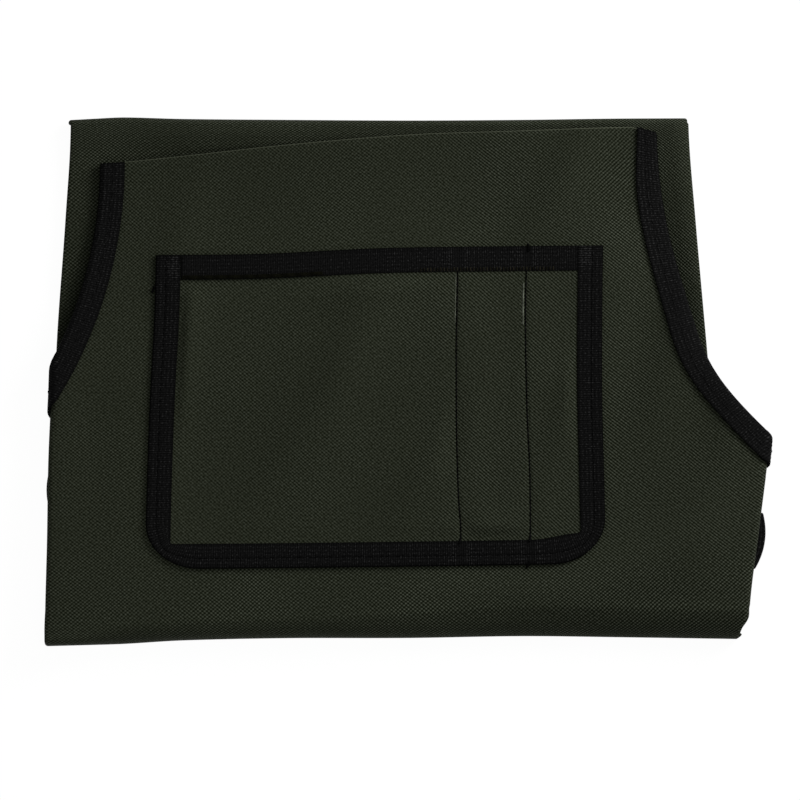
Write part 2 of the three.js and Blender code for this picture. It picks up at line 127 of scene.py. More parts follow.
# Soft folds that stand up in the bib and waist: middle x and y, turn from +X in degrees, half length, half width
# and height, all but the turn in millimetres
BIB_FOLDS = np.array([
    (-70, 113, 3, 70, 22, 2.2),  # lift along the top edge's left half
    (72, 96, 62, 34, 9, 2.3),  # pull up to the top right corner
    (74, 68, 115, 50, 22, 2.0),  # swell over the pocket's right end
    (-100, 65, 75, 26, 10, 1.5),  # swell beside the left armhole
    (-138, -30, 90, 45, 12, -1.1),  # hollow down the left side
    (118, 16, 74, 38, 12, 3.4),  # pull from the right armhole's bend
    (126, 10, 120, 34, 11, 1.5),  # pull that crosses it
    (143, -18, 75, 20, 11, 2.6),  # swell inside the right armhole's end
    (130, -62, 86, 42, 18, 2.0),  # swell over the right strap
    (100, -81, 24, 36, 12, 2.6),  # swell below the pocket's right corner
    (122, -96, 0, 34, 5, -0.7),  # hollow over the bottom fold
    (42, -92, 0, 38, 6, 1.0),  # ripple below the pocket
])

# Soft folds that stand up in the inner layer, in the same columns
INNER_FOLDS = np.array([
    (-80, 110.5, 0, 66, 7, 4.2),  # along the left of its top fold
    (36, 113, 0, 60, 4, 2.4),  # along the middle of its top fold
    (124.5, 72, -83, 60, 8, 4.2),  # down its right fold
])

# Soft folds of the pocket's own cloth, in the same columns
POCKET_FOLDS = np.array([
    (-101, 15, 83, 34, 9, 3.0),  # stand beside the left tape
    (-76, -8, 60, 36, 12, -1.2),  # hollow behind it
    (-53, -32, 57, 34, 10, 2.0),  # diagonal in the lower left
    (-28, 5, 72, 55, 12, 2.4),  # swell down the middle
    (-12, 45, 16, 33, 10, 3.2),  # swell under the mouth tape
    (11, -36, 56, 30, 9, 2.4),  # diagonal in the lower middle
    (31, -68, 14, 19, 10, 2.0),  # swell over the bottom tape
    (45, 17, 88, 32, 7, -0.8),  # hollow between the slot lines
    (72, -7, 74, 22, 8, 2.6),  # stand beside the right tape
])

# Pocket outline, outside its tape: share of the way down, then left and right in millimetres
POCKET_SIDES = np.array([1, MM, MM]) * [
    (0.00, -111.1, 85.6),
    (0.20, -111.8, 85.2),
    (0.45, -113.6, 85.1),
    (0.70, -114.9, 85.9),
    (1.00, -115.9, 86.9),
]

# Pocket outline, outside its tape, in millimetres: x, top, bottom
POCKET_ENDS = MM * np.array([
    (-116, 55.8, -82.3),
    (-65, 56.4, -81.9),
    (-12, 58.9, -81.3),
    (50, 59.8, -80.4),
    (87, 60.1, -79.6),
])

# Sewn lines that divide the pen slots: share of the way down the pocket, then each line's x in millimetres
SLOT_LINES = np.array([1, MM, MM]) * [
    (0.00, 21.9, 52.4),
    (0.07, 21.6, 51.9),
    (0.17, 21.3, 51.5),
    (0.30, 20.95, 51.55),
    (0.45, 21.1, 51.85),
    (0.55, 21.2, 52.2),
    (0.68, 21.5, 53.1),
    (0.80, 22.05, 53.5),
    (0.87, 22.8, 53.6),
    (1.00, 23.1, 53.6),
]
SLOT_X = SLOT_LINES[:, 1:].mean(0)

# Share of its radius by which the middle of a sewn thread stands over the cloth or tape
THREAD_STAND = 0.4

# Pale thread beside the slot lines, in millimetres: y of its start and end, distance from the line, and radius
PALE_RUNS = MM * np.array([(47.0, 26.0, 0.75, 0.14), (41.8, 25.0, 1.05, 0.32)])

# Stretches of the mouth tape's lower edge, in millimetres: x of the start and of the end, and the spacing. The left
# stretch is a close band of dark olive spindles, a painted shadow of the tape; the right one is whipped stitches.
WHIPPED_AND_SHADOW = MM * np.array([(-99.5, -38.0, 0.55), (4.0, 64.0, 1.45)])

# Knots and tails of thread, in millimetres: x, y and height over the pocket cloth of the start and of the end
THREAD_ENDS = MM * np.array([
    (52.6, 60.2, 0.5, 52.6, 57.8, 0.9),
    (53.0, -79.2, 0.7, 52.0, -81.4, -0.3),
    (53.6, -67.8, 0.4, 53.2, -69.6, 0.9),
    (22.8, -69.2, 0.4, 22.4, -70.6, 0.9),
    (-111.9, 41.4, 0.5, -112.5, 39.8, -0.4),
])


class Side(Enum):
    """A side of the bib as it lies, seen from above."""

    LEFT = -1
    RIGHT = 1


class Held(Enum):
    """How a sheet is held."""

    FOLDED = "folded"
    LAID = "laid"


def smoothstep(value: Array, start: float, end: float) -> Array:
    """Eases from 0 at start to 1 at end, flat at both."""
    t = np.clip((value - start) / (end - start), 0, 1)
    return t * t * (3 - 2 * t)


def bell(offset: Array, spread: float) -> Array:
    """A soft bump, exp(-(offset / spread)^2), 1 high."""
    return np.exp(-((offset / spread) ** 2))


def table_curves(table: Array) -> list[Curve]:
    """Smooth curves through a table's columns, against its first one.

    Between two rows a curve is a cubic whose slope at each row is the mean slope between that row's neighbours. It
    holds its end values beyond the table.

    Args:
        table: rows with rising values in the first column.

    Returns:
        For each further column, the curve, which takes an array of places.
    """
    keys = table[:, 0]
    before = np.maximum(np.arange(len(keys)) - 1, 0)
    after = np.minimum(np.arange(len(keys)) + 1, len(keys) - 1)

    def through(values: Array) -> Curve:
        """The curve through one column."""
        slopes = (values[after] - values[before]) / (keys[after] - keys[before])

        def curve(at: Array) -> Array:
            """Value of the curve at each place."""
            held = np.clip(at, keys[0], keys[-1])
            b = np.clip(np.searchsorted(keys, held), 1, len(keys) - 1)
            a = b - 1
            span = keys[b] - keys[a]
            t = (held - keys[a]) / span
            eased = values[a] + (values[b] - values[a]) * t * t * (3 - 2 * t)
            return eased + span * t * (1 - t) * ((1 - t) * slopes[a] - t * slopes[b])

        return curve

    return [through(column) for column in table.T[1:]]


bib_top, bottom_fold, top_fold = table_curves(CROSS_LINES)
left_fold, right_fold = table_curves(SIDE_FOLDS)
pocket_left, pocket_right = table_curves(POCKET_SIDES)
pocket_top, pocket_bottom = table_curves(POCKET_ENDS)
slot_curves = table_curves(SLOT_LINES)


def soft_folds(table: Array, x: Array, y: Array) -> Array:
    """Height of a set of soft folds, which add up.

    Each is a long bump: its height times exp(-(s / half length)^2 - (d / half width)^2), where s runs along the
    fold and d across it.

    Args:
        table: rows of middle x, middle y, turn, half length, half width and height.
        x: places in metres.
        y: places in metres.

    Returns:
        Height in metres, below zero in a hollow.
    """
    middle_x, middle_y, turn, length, width, height = (column.reshape(-1, *[1] * np.ndim(x)) for column in table.T)
    dx = x / MM - middle_x
    dy = y / MM - middle_y
    cos, sin = np.cos(np.radians(turn)), np.sin(np.radians(turn))
    along = (dx * cos + dy * sin) / length
    aside = (dy * cos - dx * sin) / width
    return MM * (height * np.exp(-along**2 - aside**2)).sum(0)


def edge_steps(thickness: float) -> Array:
    """Distances from an edge at which a half-round edge of that thickness gets its grid lines, zero first."""
    return thickness / 2 * (1 - np.cos(np.radians(RIM_ANGLES)))


def rounded_half(distance: Array, thickness: float) -> Array:
    """Half the thickness of a wall with half-round edges, against the distance from its nearest edge."""
    short = np.clip(1 - distance / (thickness / 2), 0, 1)
    return thickness / 2 * np.sqrt(1 - short**2)


def hairpin(leg: float, radius: float, thickness: float, leg_steps: int, arc_steps: int) -> Array:
    """Places along a strip that goes out, round a half circle and back, close together at both its ends.

    Args:
        leg: length of each straight leg.
        radius: radius of the half circle.
        thickness: the strip's thickness, for its half-round ends.
        leg_steps: number of places on a leg.
        arc_steps: number of places round the half circle, with both its ends.

    Returns:
        Rising places from zero to the strip's flat length.
    """
    flat = 2 * leg + np.pi * radius
    rim = edge_steps(thickness)
    out = np.linspace(rim[-1], leg, leg_steps)
    arc = leg + np.pi * radius * np.linspace(0, 1, arc_steps)[1:-1]
    return np.concatenate([rim[:-1], out, arc, flat - out[::-1], flat - rim[:-1][::-1]])


def run_length(points: Array) -> Array:
    """Distance along a row of points to each of them, from zero."""
    steps = np.linalg.norm(np.diff(points, axis=0), axis=1)
    return np.concatenate([[0.0], np.cumsum(steps)])


def linear(hex_code: str) -> tuple[float, float, float, float]:
    """Linear colour, with alpha 1, of an sRGB hex value such as #25281f.

    Args:
        hex_code: the sRGB value.

    Returns:
        Red, green, blue and alpha.
    """
    channels = np.array([int(hex_code[i : i + 2], 16) for i in (1, 3, 5)]) / 255
    low = channels / 12.92
    high = ((channels + 0.055) / 1.055) ** 2.4
    return (*np.where(channels <= 0.04045, low, high).tolist(), 1.0)


def feed(tree: bpy.types.NodeTree, node: bpy.types.Node, inputs: dict) -> None:
    """Links each input, given by name or place, to the socket that feeds it, or sets its value."""
    for place, value in inputs.items():
        if isinstance(value, bpy.types.NodeSocket):
            tree.links.new(value, node.inputs[place])
        else:
            node.inputs[place].default_value = value


def add_node(
    tree: bpy.types.NodeTree, kind: str, settings: dict | None = None, inputs: dict | None = None
) -> bpy.types.Node:
    """Adds a node to a tree.

    Args:
        tree: the material's nodes.
        kind: the node's type, without ShaderNode in front, such as Math.
        settings: values of the node's own properties.
        inputs: for each input's name or place, the socket that feeds it or its value.

    Returns:
        The new node.
    """
    node = tree.nodes.new(f"ShaderNode{kind}")
    for name, value in (settings or {}).items():
        setattr(node, name, value)
    feed(tree, node, inputs or {})
    return node


class Bench:
    """A new material with a Principled shader, and the few kinds of node that the finishes share."""

    def __init__(self, name: str) -> None:
        """Makes the material, named for what it is."""
        self.material = bpy.data.materials.new(name)
        self.material.use_nodes = True
        self.tree = self.material.node_tree
        self.shader = self.tree.nodes["Principled BSDF"]

    def math(self, operation: str, *values: object) -> bpy.types.NodeSocket:
        """Result of one Math operation on sockets or numbers, in order."""
        return add_node(self.tree, "Math", {"operation": operation}, dict(enumerate(values))).outputs[0]

    def wave(self, place: bpy.types.NodeSocket, spacing: float) -> bpy.types.NodeSocket:
        """Cosine of a place, with its crests at that spacing."""
        return self.math("COSINE", self.math("MULTIPLY", place, 2 * math.pi / spacing))

    def mark(self, name: str) -> bpy.types.NodeSocket:
        """A piece's mark of that name, zero on pieces without it."""
        return add_node(self.tree, "Attribute", {"attribute_name": name}).outputs["Fac"]

    def pattern(self) -> tuple[bpy.types.NodeSocket, bpy.types.NodeSocket, bpy.types.NodeSocket]:
        """Pattern coordinates on the flat piece, together and then across and along it."""
        place = add_node(self.tree, "UVMap", {"uv_map": "pattern"}).outputs[0]
        axes = add_node(self.tree, "SeparateXYZ", inputs={0: place}).outputs
        return place, axes[0], axes[1]

    def object_place(self) -> bpy.types.NodeSocket:
        """Object coordinates."""
        return add_node(self.tree, "TexCoord").outputs["Object"]

    def noise(
        self, place: bpy.types.NodeSocket, size: float, detail: float = 1.0, dimensions: str = "3D"
    ) -> bpy.types.NodeSocket:
        """Noise whose patches have about that size in metres."""
        inputs = {"Vector": place, "Scale": 1 / size, "Detail": detail}
        return add_node(self.tree, "TexNoise", {"noise_dimensions": dimensions}, inputs).outputs[0]

    def mix(self, share: object, first: object, second: object, blend: str = "MIX") -> bpy.types.NodeSocket:
        """Colour between two, by a share of the second."""
        settings = {"data_type": "RGBA", "blend_type": blend}
        return add_node(self.tree, "Mix", settings, {0: share, 6: first, 7: second}).outputs[2]

    def coat(self, colour: bpy.types.NodeSocket, roughness: float, specular: float) -> bpy.types.Material:
        """Gives the shader its colour and gloss, and returns the finished material.

        Args:
            colour: a socket, or a linear colour.
            roughness: the shader's roughness.
            specular: the shader's specular level.

        Returns:
            The material.
        """
        feed(
            self.tree, self.shader,
            {"Base Color": colour, "Roughness": roughness, "Specular IOR Level": specular},
        )
        return self.material

    def emboss(self, height: bpy.types.NodeSocket, relief: float, strength: float = 0.7) -> None:
        """Bumps the surface by a height from 0 to 1, times the relief in metres."""
        inputs = {"Strength": strength, "Distance": relief, "Height": height}
        feed(self.tree, self.shader, {"Normal": add_node(self.tree, "Bump", inputs=inputs).outputs[0]})


def new_piece(name: str, points: Array, faces: list, material: bpy.types.Material) -> bpy.types.Object:
    """Makes a smooth mesh object.

    Args:
        name: the object's name.
        points: its points.
        faces: the points' numbers for each face.
        material: its one material.

    Returns:
        The object, at the origin and in the scene.
    """
    mesh = bpy.data.meshes.new(name)
    mesh.from_pydata(points, [], faces)
    mesh.shade_smooth()
    mesh.materials.append(material)
    piece = bpy.data.objects.new(name, mesh)
    bpy.context.scene.collection.objects.link(piece)
    return piece


@dataclass(frozen=True)
class Wall:
    """A thin closed wall on one grid.

    Attributes:
        front: points of its front face, rows by columns by 3, on the rim equal to the back's.
        back: points of its back face.
        pattern: pattern coordinates in metres, rows by columns by 2.
        marks: named values for each grid point that a finish reads.
    """

    front: Array
    back: Array
    pattern: Array
    marks: dict[str, Array] = field(default_factory=dict)

    def build(self, name: str, material: bpy.types.Material) -> bpy.types.Object:
        """Makes the wall's mesh object.

        The rim's points are shared by both faces, so the wall is closed. Its faces point outwards where its signed
        volume, the sum of a . (b x c) over its triangles, is positive; otherwise they are turned round.

        Args:
            name: the object's name.
            material: its finish.

        Returns:
            The object, at the origin.
        """
        rows, columns = self.front.shape[:2]
        front = np.arange(rows * columns).reshape(rows, columns)
        back = front.copy()
        back[1:-1, 1:-1] = rows * columns + np.arange((rows - 2) * (columns - 2)).reshape(rows - 2, -1)

        def both(of_front: Array, of_back: Array) -> Array:
            """Values of the front's points, and after them of the back's inner points."""
            inner = of_back[1:-1, 1:-1].reshape((rows - 2) * (columns - 2), -1)
            return np.concatenate([of_front.reshape(rows * columns, -1), inner])

        def quads(index: NDArray[np.int64]) -> NDArray[np.int64]:
            """Corners of each grid square, row by row."""
            corners = [index[:-1, :-1], index[1:, :-1], index[1:, 1:], index[:-1, 1:]]
            return np.stack(corners, -1).reshape(-1, 4)

        points = both(self.front, self.back)
        faces = np.concatenate([quads(front), quads(back)[:, ::-1]])
        a, b, c, d = (points[faces[:, i]] for i in range(4))
        if np.einsum("ij,ij->", a, np.cross(b, c)) + np.einsum("ij,ij->", a, np.cross(c, d)) < 0:
            faces = faces[:, ::-1]
        piece = new_piece(name, points, faces.tolist(), material)
        mesh = piece.data
        loops = np.empty(len(mesh.loops), dtype=np.int32)
        mesh.loops.foreach_get("vertex_index", loops)
        uv = both(self.pattern, self.pattern)[loops]
        mesh.uv_layers.new(name="pattern").data.foreach_set("uv", uv.astype(np.float32).ravel())
        for mark, values in self.marks.items():
            store = mesh.attributes.new(mark, "FLOAT", "POINT")
            store.data.foreach_set("value", both(values, values).astype(np.float32).ravel())
        return piece


@dataclass(frozen=True)
class Rise:
    """A value that eases in between two places."""

    size: float
    start: float
    end: float

    def at(self, place: Array) -> Array:
        """Zero at the start, the full size at the end and beyond."""
        return self.size * smoothstep(place, self.start, self.end)


@dataclass(frozen=True)
class Spot:
    """A soft spot in plan: its middle, and its spread each way."""

    x: float
    y: float
    wide: float
    tall: float

    def at(self, x: Array, y: Array) -> Array:
        """1 in the middle, fading out as a bell each way."""
        return bell(x - self.x, self.wide) * bell(y - self.y, self.tall)


@dataclass(frozen=True)
class Wander:
    """How a thread wavers: its size, and the waves along the thread and aside from it."""

    size: float
    along: float
    aside: float

    def at(self, along: Array, aside: Array) -> Array:
        """Size times sin(a + 2 sin(b)), where a and b are the places over their waves."""
        return self.size * np.sin(along / self.along + 2 * np.sin(aside / self.aside))


@dataclass(frozen=True)
class ClothFold:
    """How the cut of cloth is folded: a place in the bundle for each point of the flat cut.

    A station runs along the fold path, one unit for each stretch: front 0, bottom roll 1, back 2, top roll 3 and
    inner layer 4, with the hem at 5. Across is measured along the cloth from its centre line.
    """

    bib_half_width: float = 120.7 * MM
    armhole_flare: float = 145 * MM
    armhole_depth: float = 175 * MM
    front_length: float = 206 * MM
    centre_x: float = -13.2 * MM
    hem_clearance: float = 3.5 * MM
    pull: float = 4.4 * MM
    pull_station: float = 0.513
    pull_spread: float = 0.119
    pull_start: float = 60 * MM
    roll_depth: float = 15 * MM
    roll_left: float = 7.8 * MM
    roll_right: float = 13 * MM
    roll_span: Span = (-60 * MM, 55 * MM)
    roll_corner: float = 0.35
    corner_span: Span = (-148 * MM, -125 * MM)
    crease_slope: float = 0.38
    crease_ease: float = 0.04
    nose_radius: float = 2.2 * MM
    rise_span: Span = (0.05, 0.55)
    front_fade: Span = (1.5, 1)
    inner_fade: Span = (3, 4)
    tuck: float = 1.3 * MM
    tuck_left: Span = (-130 * MM, -95 * MM)
    tuck_right: Span = (118 * MM, 95 * MM)
    tuck_span: Span = (-1 * MM, 4.5 * MM)

    @property
    def nose_z(self) -> float:
        """Height of the middle of the tight roll under the bottom edge."""
        return BACK_Z + self.nose_radius

    def bottom_axis(self, x: Array) -> Array:
        """Y where the front layer meets the bottom roll."""
        return bottom_fold(x) + CLOTH / 2 + self.roll_depth

    def nose_axis(self, x: Array) -> Array:
        """Y where the bottom roll meets the back layer."""
        return bottom_fold(x) + CLOTH / 2 + self.nose_radius

    def top_axis(self, x: Array) -> Array:
        """Y where the back and inner layers meet the top roll."""
        return top_fold(x) - CLOTH / 2 - TOP_RADIUS

    def front_y(self, x: Array, share: Array) -> Array:
        """Y at a share of the way down the front layer."""
        return bib_top(x) + (self.bottom_axis(x) - bib_top(x)) * share

    def front_height(self, share: Array) -> Array:
        """Height of the front layer's middle, eased from the low bib to the waist over the folded sides."""
        return BIB_Z + (WAIST_Z - BIB_Z) * smoothstep(share, *self.rise_span)

    def bend(self, x: Array, y: Array) -> tuple[Array, Array]:
        """Share of the way from the front's lower crease to its bottom edge, and that way.

        The way is shorter on the left, and runs out at the left corner.
        """
        reach = self.roll_left + (self.roll_right - self.roll_left) * smoothstep(x, *self.roll_span)
        reach = reach * (self.roll_corner + (1 - self.roll_corner) * smoothstep(x, *self.corner_span))
        return np.clip(1 - (y - bottom_fold(x) - CLOTH / 2) / reach, 0, 1), reach

    def half_width(self, station: Array) -> Array:
        """Half the cut's width: each armhole is a quarter of an ellipse."""
        depth = np.clip(station * self.front_length / self.armhole_depth, 0, 1)
        return self.bib_half_width + self.armhole_flare * (1 - np.sqrt(1 - depth**2))

    def side_fold(self, station: Array, side: Array) -> tuple[Array, Array]:
        """Cloth from the centre line to where a side fold starts, and that fold's radius.

        The folded side lies one drop behind its panel, less and less round the bottom roll, so the radius is half
        that drop.

        Args:
            station: places along the fold path.
            side: -1 on the left and 1 on the right.

        Returns:
            The flat length and the radius.
        """
        drop = FRONT_FLAP_DROP + (PLY - FRONT_FLAP_DROP) * np.clip(2 * (station - 1), 0, 1)
        left = self.centre_x - left_fold(station)
        right = right_fold(station) - self.centre_x
        return np.where(side < 0, left, right) - CLOTH / 2 - drop / 2, drop / 2

    def path(self, x: Array, station: Array) -> tuple[Array, Array, Array, Array]:
        """Middle of the panel in the Y-Z plane, and the way that the cloth's front faces there.

        The front, back and inner stretches are straight from one roll to the next. At a crease the front starts to
        fall by a slope, and with s the share of the way from there to the edge, it rolls down by the height times
        1 - sqrt(1 - s^4) as well. A tight quarter circle goes under it. The top roll is a half circle.

        Args:
            x: places across the bundle.
            station: places along the fold path.

        Returns:
            Y, Z, and the facing direction's Y and Z.
        """
        stretch = np.minimum(np.floor(station), 4)
        share = station - stretch
        sin = np.sin(np.pi * share)
        cos = np.cos(np.pi * share)
        one = np.ones_like(share)
        fall = WAIST_Z - self.nose_z
        front = self.front_y(x, share)
        wide = self.bottom_axis(x) - self.roll_depth * sin
        side, reach = self.bend(x, np.where(stretch < 1, front, wide))
        round_off = np.sqrt(1 - side**4)
        ease = self.crease_ease
        slope = self.crease_slope * (1 + ease) * side * (side + 2 * ease) / (side + ease) ** 2
        steep = slope * round_off + 2 * side**3 * (fall / reach - self.crease_slope)
        tilt = np.hypot(steep, round_off)
        face_y, face_z = -steep / tilt, round_off / tilt
        crease = self.crease_slope * reach
        drop = crease * (1 + ease) * side**2 / (side + ease) + (fall - crease) * (1 - round_off)
        upper = share < 0.5
        nose, top = self.nose_axis(x), self.top_axis(x)
        hem = self.bottom_axis(x) + self.hem_clearance
        places = [
            (front, self.front_height(share) - drop, face_y, face_z),
            (
                np.where(upper, wide, nose - self.nose_radius * sin),
                self.nose_z + np.where(upper, fall - drop, self.nose_radius * cos),
                np.where(upper, face_y, -sin),
                np.where(upper, face_z, cos),
            ),
            (nose + (top - nose) * share, BACK_Z * one, 0 * one, -one),
            (top + TOP_RADIUS * sin, BACK_Z + TOP_RADIUS * (1 - cos), sin, -cos),
            (top + (hem - top) * share, INNER_Z * one, 0 * one, one),
        ]
        return tuple(np.choose(stretch.astype(int), [place[i] for place in places]) for i in range(4))

    def drawn_in(self, station: Array, across: Array) -> Array:
        """Distance from the centre line, less what the right side is drawn in at the waist."""
        cut = np.abs(across)
        pull = np.where(across > 0, self.pull * bell(station - self.pull_station, self.pull_spread), 0)
        return cut - pull * smoothstep(cut, self.pull_start, self.bib_half_width)

    def stand_up(self, x: Array, y: Array) -> Array:
        """Height by which the inner layer stands up above the bib's top edge, from which it eases up."""
        wide = smoothstep(x, *self.tuck_left) * smoothstep(x, *self.tuck_right)
        return self.tuck * wide * smoothstep(y - bib_top(x), *self.tuck_span)

    def place(self, station: Array, across: Array, lift: Array) -> Array:
        """Point of the folded cloth: panel, half-circle side fold and flap, carried along the fold path.

        Args:
            station: places along the fold path.
            across: places along the cloth from its centre line, negative on the left.
            lift: height over the middle of the wall, on its front side.

        Returns:
            Points, with 3 as the last axis.
        """
        side = np.where(across < 0, -1.0, 1.0)
        along = self.drawn_in(station, across)
        flat, radius = self.side_fold(station, side)
        turn = np.clip((along - flat) / radius, 0, np.pi)
        flap = np.maximum(along - flat - np.pi * radius, 0)
        out = np.minimum(along, flat) + (radius + lift) * np.sin(turn) - flap
        rise = radius * (np.cos(turn) - 1) + lift * np.cos(turn)
        x = self.centre_x + side * out
        y, z, face_y, face_z = self.path(x, station)
        y = y + rise * face_y
        z = z + rise * face_z + smoothstep(station, *self.front_fade) * soft_folds(BIB_FOLDS, x, y)
        inner = soft_folds(INNER_FOLDS, x, y) + self.stand_up(x, y)
        return np.stack([x, y, z + smoothstep(station, *self.inner_fade) * inner], -1)

    def length_to(self, station: Array) -> Array:
        """Length of cloth from the bib's top edge to a station, on the centre line.

        Args:
            station: places along the fold path.

        Returns:
            Length in metres.
        """
        quarter = np.pi / 2 * math.sqrt((self.roll_depth**2 + (WAIST_Z - self.nose_z) ** 2) / 2)
        nose = np.pi / 2 * self.nose_radius
        back = float(self.top_axis(0.0) - self.nose_axis(0.0))
        inner = float(self.top_axis(0.0) - self.bottom_axis(0.0)) - self.hem_clearance
        pieces = [0, self.front_length, quarter, nose, back, np.pi * TOP_RADIUS, inner]
        return np.interp(station, [0, 1, 1.5, 2, 3, 4, 5], np.cumsum(pieces))

    def unfolded(self, station: Array, across: Array) -> tuple[Array, Array]:
        """Place in plan as if the sides lay flat, with the front's bottom edge for all that is folded under."""
        x = self.centre_x + np.sign(across) * self.drawn_in(station, across)
        return x, self.front_y(x, np.minimum(station, 1))


@dataclass(frozen=True)
class ThreadLay:
    """How the threads of the folded cloth run, and how much of them shows."""

    fold: ClothFold
    inner_fade: Span = (3.2, 3.6)
    lean: float = 5.2
    lean_spread: float = 2.4
    lean_reach: float = 125 * MM
    step: float = 4.0 * MM
    step_at: float = -40 * MM
    step_reach: float = 60 * MM
    step_low: float = 0.3
    step_span: Span = (-90 * MM, 40 * MM)
    crowding: float = 0.6
    crowding_station: float = 3.5
    crowding_reach: float = 11 * MM
    crowding_right: float = 0.22
    crowding_right_start: float = 95 * MM
    warp_wander: Wander = Wander(0.3 * MM, 9 * MM, 23 * MM)
    weft_wander: Wander = Wander(0.25 * MM, 11 * MM, 31 * MM)
    stretched: Rise = Rise(1.0, 60 * MM, 95 * MM)
    corner: Spot = Spot(93 * MM, 96 * MM, 32 * MM, 26 * MM)
    # Spot beside the pocket's upper right corner where the weave's contrast is raised, for a painted highlight on
    # its crowns
    highlight_spot: Spot = Spot(93 * MM, 66 * MM, 22 * MM, 24 * MM)
    skew_left: float = -0.13
    skew_right: Rise = Rise(-0.37, -40 * MM, 45 * MM)
    skew_low: Rise = Rise(0.22, 60 * MM, 110 * MM)
    skew_inner: Rise = Rise(-0.32, -20 * MM, 60 * MM)
    crisp_left: float = 0.83
    crisp_right: Rise = Rise(0.22, 0, 45 * MM)
    crisp_low: float = 0.4
    crisp_highlight: float = 0.7
    crisp_inner: Rise = Rise(0.2, 80 * MM, 110 * MM)

    def marks(self, station: Array, across: Array) -> dict[str, Array]:
        """How the threads show.

        The skew says how much the rising diagonal shows over the falling one: less and less to the right, but more
        in the upper right corner and at the bottom, and less again on the right of the inner layer. Crispness is
        the weave's contrast, and so how far the crowns reach their painted highlight: more to the right, most in a
        spot beside the pocket's upper right corner, and at the bottom, where the cloth is stretched.

        Args:
            station: places along the fold path.
            across: places along the cloth from its centre line.

        Returns:
            The two marks by name.
        """
        x, y = self.fold.unfolded(station, across)
        inner = smoothstep(station, *self.inner_fade)
        low = self.stretched.at(-y)
        upper = self.corner.at(x, y) + self.skew_left + self.skew_right.at(x)
        skew = upper + (self.skew_low.at(x) - upper) * low
        skew = skew + (self.skew_inner.at(x) - skew) * inner
        crisp = self.crisp_left + self.crisp_right.at(x) + self.crisp_low * low
        crisp = crisp + self.crisp_highlight * self.highlight_spot.at(x, y) + self.crisp_inner.at(x) * inner
        return {"skew": skew, "crisp": crisp}

    def weave(self, station: Array, across: Array) -> Array:
        """Pattern coordinates of the threads: across and up the cloth as it lies.

        The warp leans more and more from left to right, the weft rises in one soft step, tanh((x - middle) / reach),
        which fades out downwards, and both wander by a fraction of their spacing. The threads crowd at the top fold
        and on the right of the inner layer.

        Args:
            station: places along the fold path.
            across: places along the cloth from its centre line.

        Returns:
            Coordinates in metres, with 2 as the last axis.
        """
        x, y = self.fold.unfolded(station, across)
        length = self.fold.length_to(station)
        under = np.maximum(length - self.fold.front_length, 0)
        inner = np.maximum(length - self.fold.length_to(self.crowding_station), 0)
        lean = np.radians(self.lean + self.lean_spread * x / self.lean_reach)
        step = self.step * np.tanh((x - self.step_at) / self.step_reach)
        step = step * (self.step_low + (1 - self.step_low) * smoothstep(y, *self.step_span))
        crowd = self.crowding * self.crowding_reach * np.tanh(inner / self.crowding_reach)
        warp = x + y * np.tan(lean) - under * math.tan(math.radians(self.lean)) + self.warp_wander.at(x, y)
        right = np.maximum(x - self.crowding_right_start, 0)
        warp = warp + self.crowding_right * smoothstep(station, *self.inner_fade) * right
        return np.stack([warp, y - step - under - crowd + self.weft_wander.at(y - under, x)], -1)


@dataclass(frozen=True)
class PocketShape:
    """Outline and height of the chest pocket over the bib."""

    fold: ClothFold
    corner: tuple[float, float] = (24 * MM, 20 * MM)
    right_rise: float = 2.6 * MM
    right_rise_reach: float = 22 * MM
    leg_rows: int = 90
    corner_rows: int = 30
    steepest: float = 0.4999 * np.pi

    def height(self, x: Array, y: Array) -> Array:
        """Height of the middle of the pocket cloth, were it flat on the bib."""
        top = bib_top(x)
        share = (top - y) / (top - self.fold.bottom_axis(x))
        return self.fold.front_height(share) + POCKET_LIFT + soft_folds(BIB_FOLDS, x, y)

    def at(self, x: Array, down: Array) -> Array:
        """Point in plan at x, a share of the way down from the pocket's top to its bottom."""
        return np.stack([x, pocket_top(x) + (pocket_bottom(x) - pocket_top(x)) * down], -1)

    def rail(self, side: Side) -> tuple[Array, Array]:
        """Outer and inner edges of the edge tape down one side and round its lower corner.

        The outer corner is a quarter of an ellipse. The inner one is square, and the inner edge is there half way
        round.

        Args:
            side: which side of the pocket.

        Returns:
            Outer and inner points in plan, from the top down.
        """
        wide, tall = self.corner
        edge = pocket_left if side is Side.LEFT else pocket_right
        height = float(pocket_top(edge(0.0)) - pocket_bottom(edge(1.0)))
        start = 1 - tall / height
        leg = start * np.linspace(0, 1, self.leg_rows, endpoint=False)
        turn = np.linspace(0, np.pi / 2, self.corner_rows)
        slope = np.tan(np.minimum(turn, self.steepest))
        outer_down = np.concatenate([leg, start + (1 - start) * np.sin(turn)])
        inner_end = 1 - TAPE_WIDTH / height
        inner_down = np.concatenate([leg, start + (inner_end - start) * np.minimum(slope, 1)])
        outer_in = np.concatenate([0 * leg, wide * (1 - np.cos(turn))])
        beyond = np.maximum(1 - 1 / np.maximum(slope, 1), 0)
        inner_in = TAPE_WIDTH + np.concatenate([0 * leg, (wide - TAPE_WIDTH) * beyond])
        outer = self.at(edge(outer_down) - side.value * outer_in, outer_down)
        inner = self.at(edge(inner_down) - side.value * inner_in, inner_down)
        inner[:, 1] += self.inner_rise(inner[:, 0]) * smoothstep(inner_down, start, inner_end)
        return outer, inner

    def inner_rise(self, x: Array) -> Array:
        """How far the tape's inner edge along the bottom rises towards the right corner."""
        corner = float(pocket_right(1.0)) - TAPE_WIDTH
        return self.right_rise * smoothstep(x, corner - self.right_rise_reach, corner)

    def slot_offset(self, x: Array, down: Array) -> Array:
        """Distance in metres from the nearest slot line."""
        return np.abs(np.stack([x - slot(down) for slot in slot_curves])).min(0)


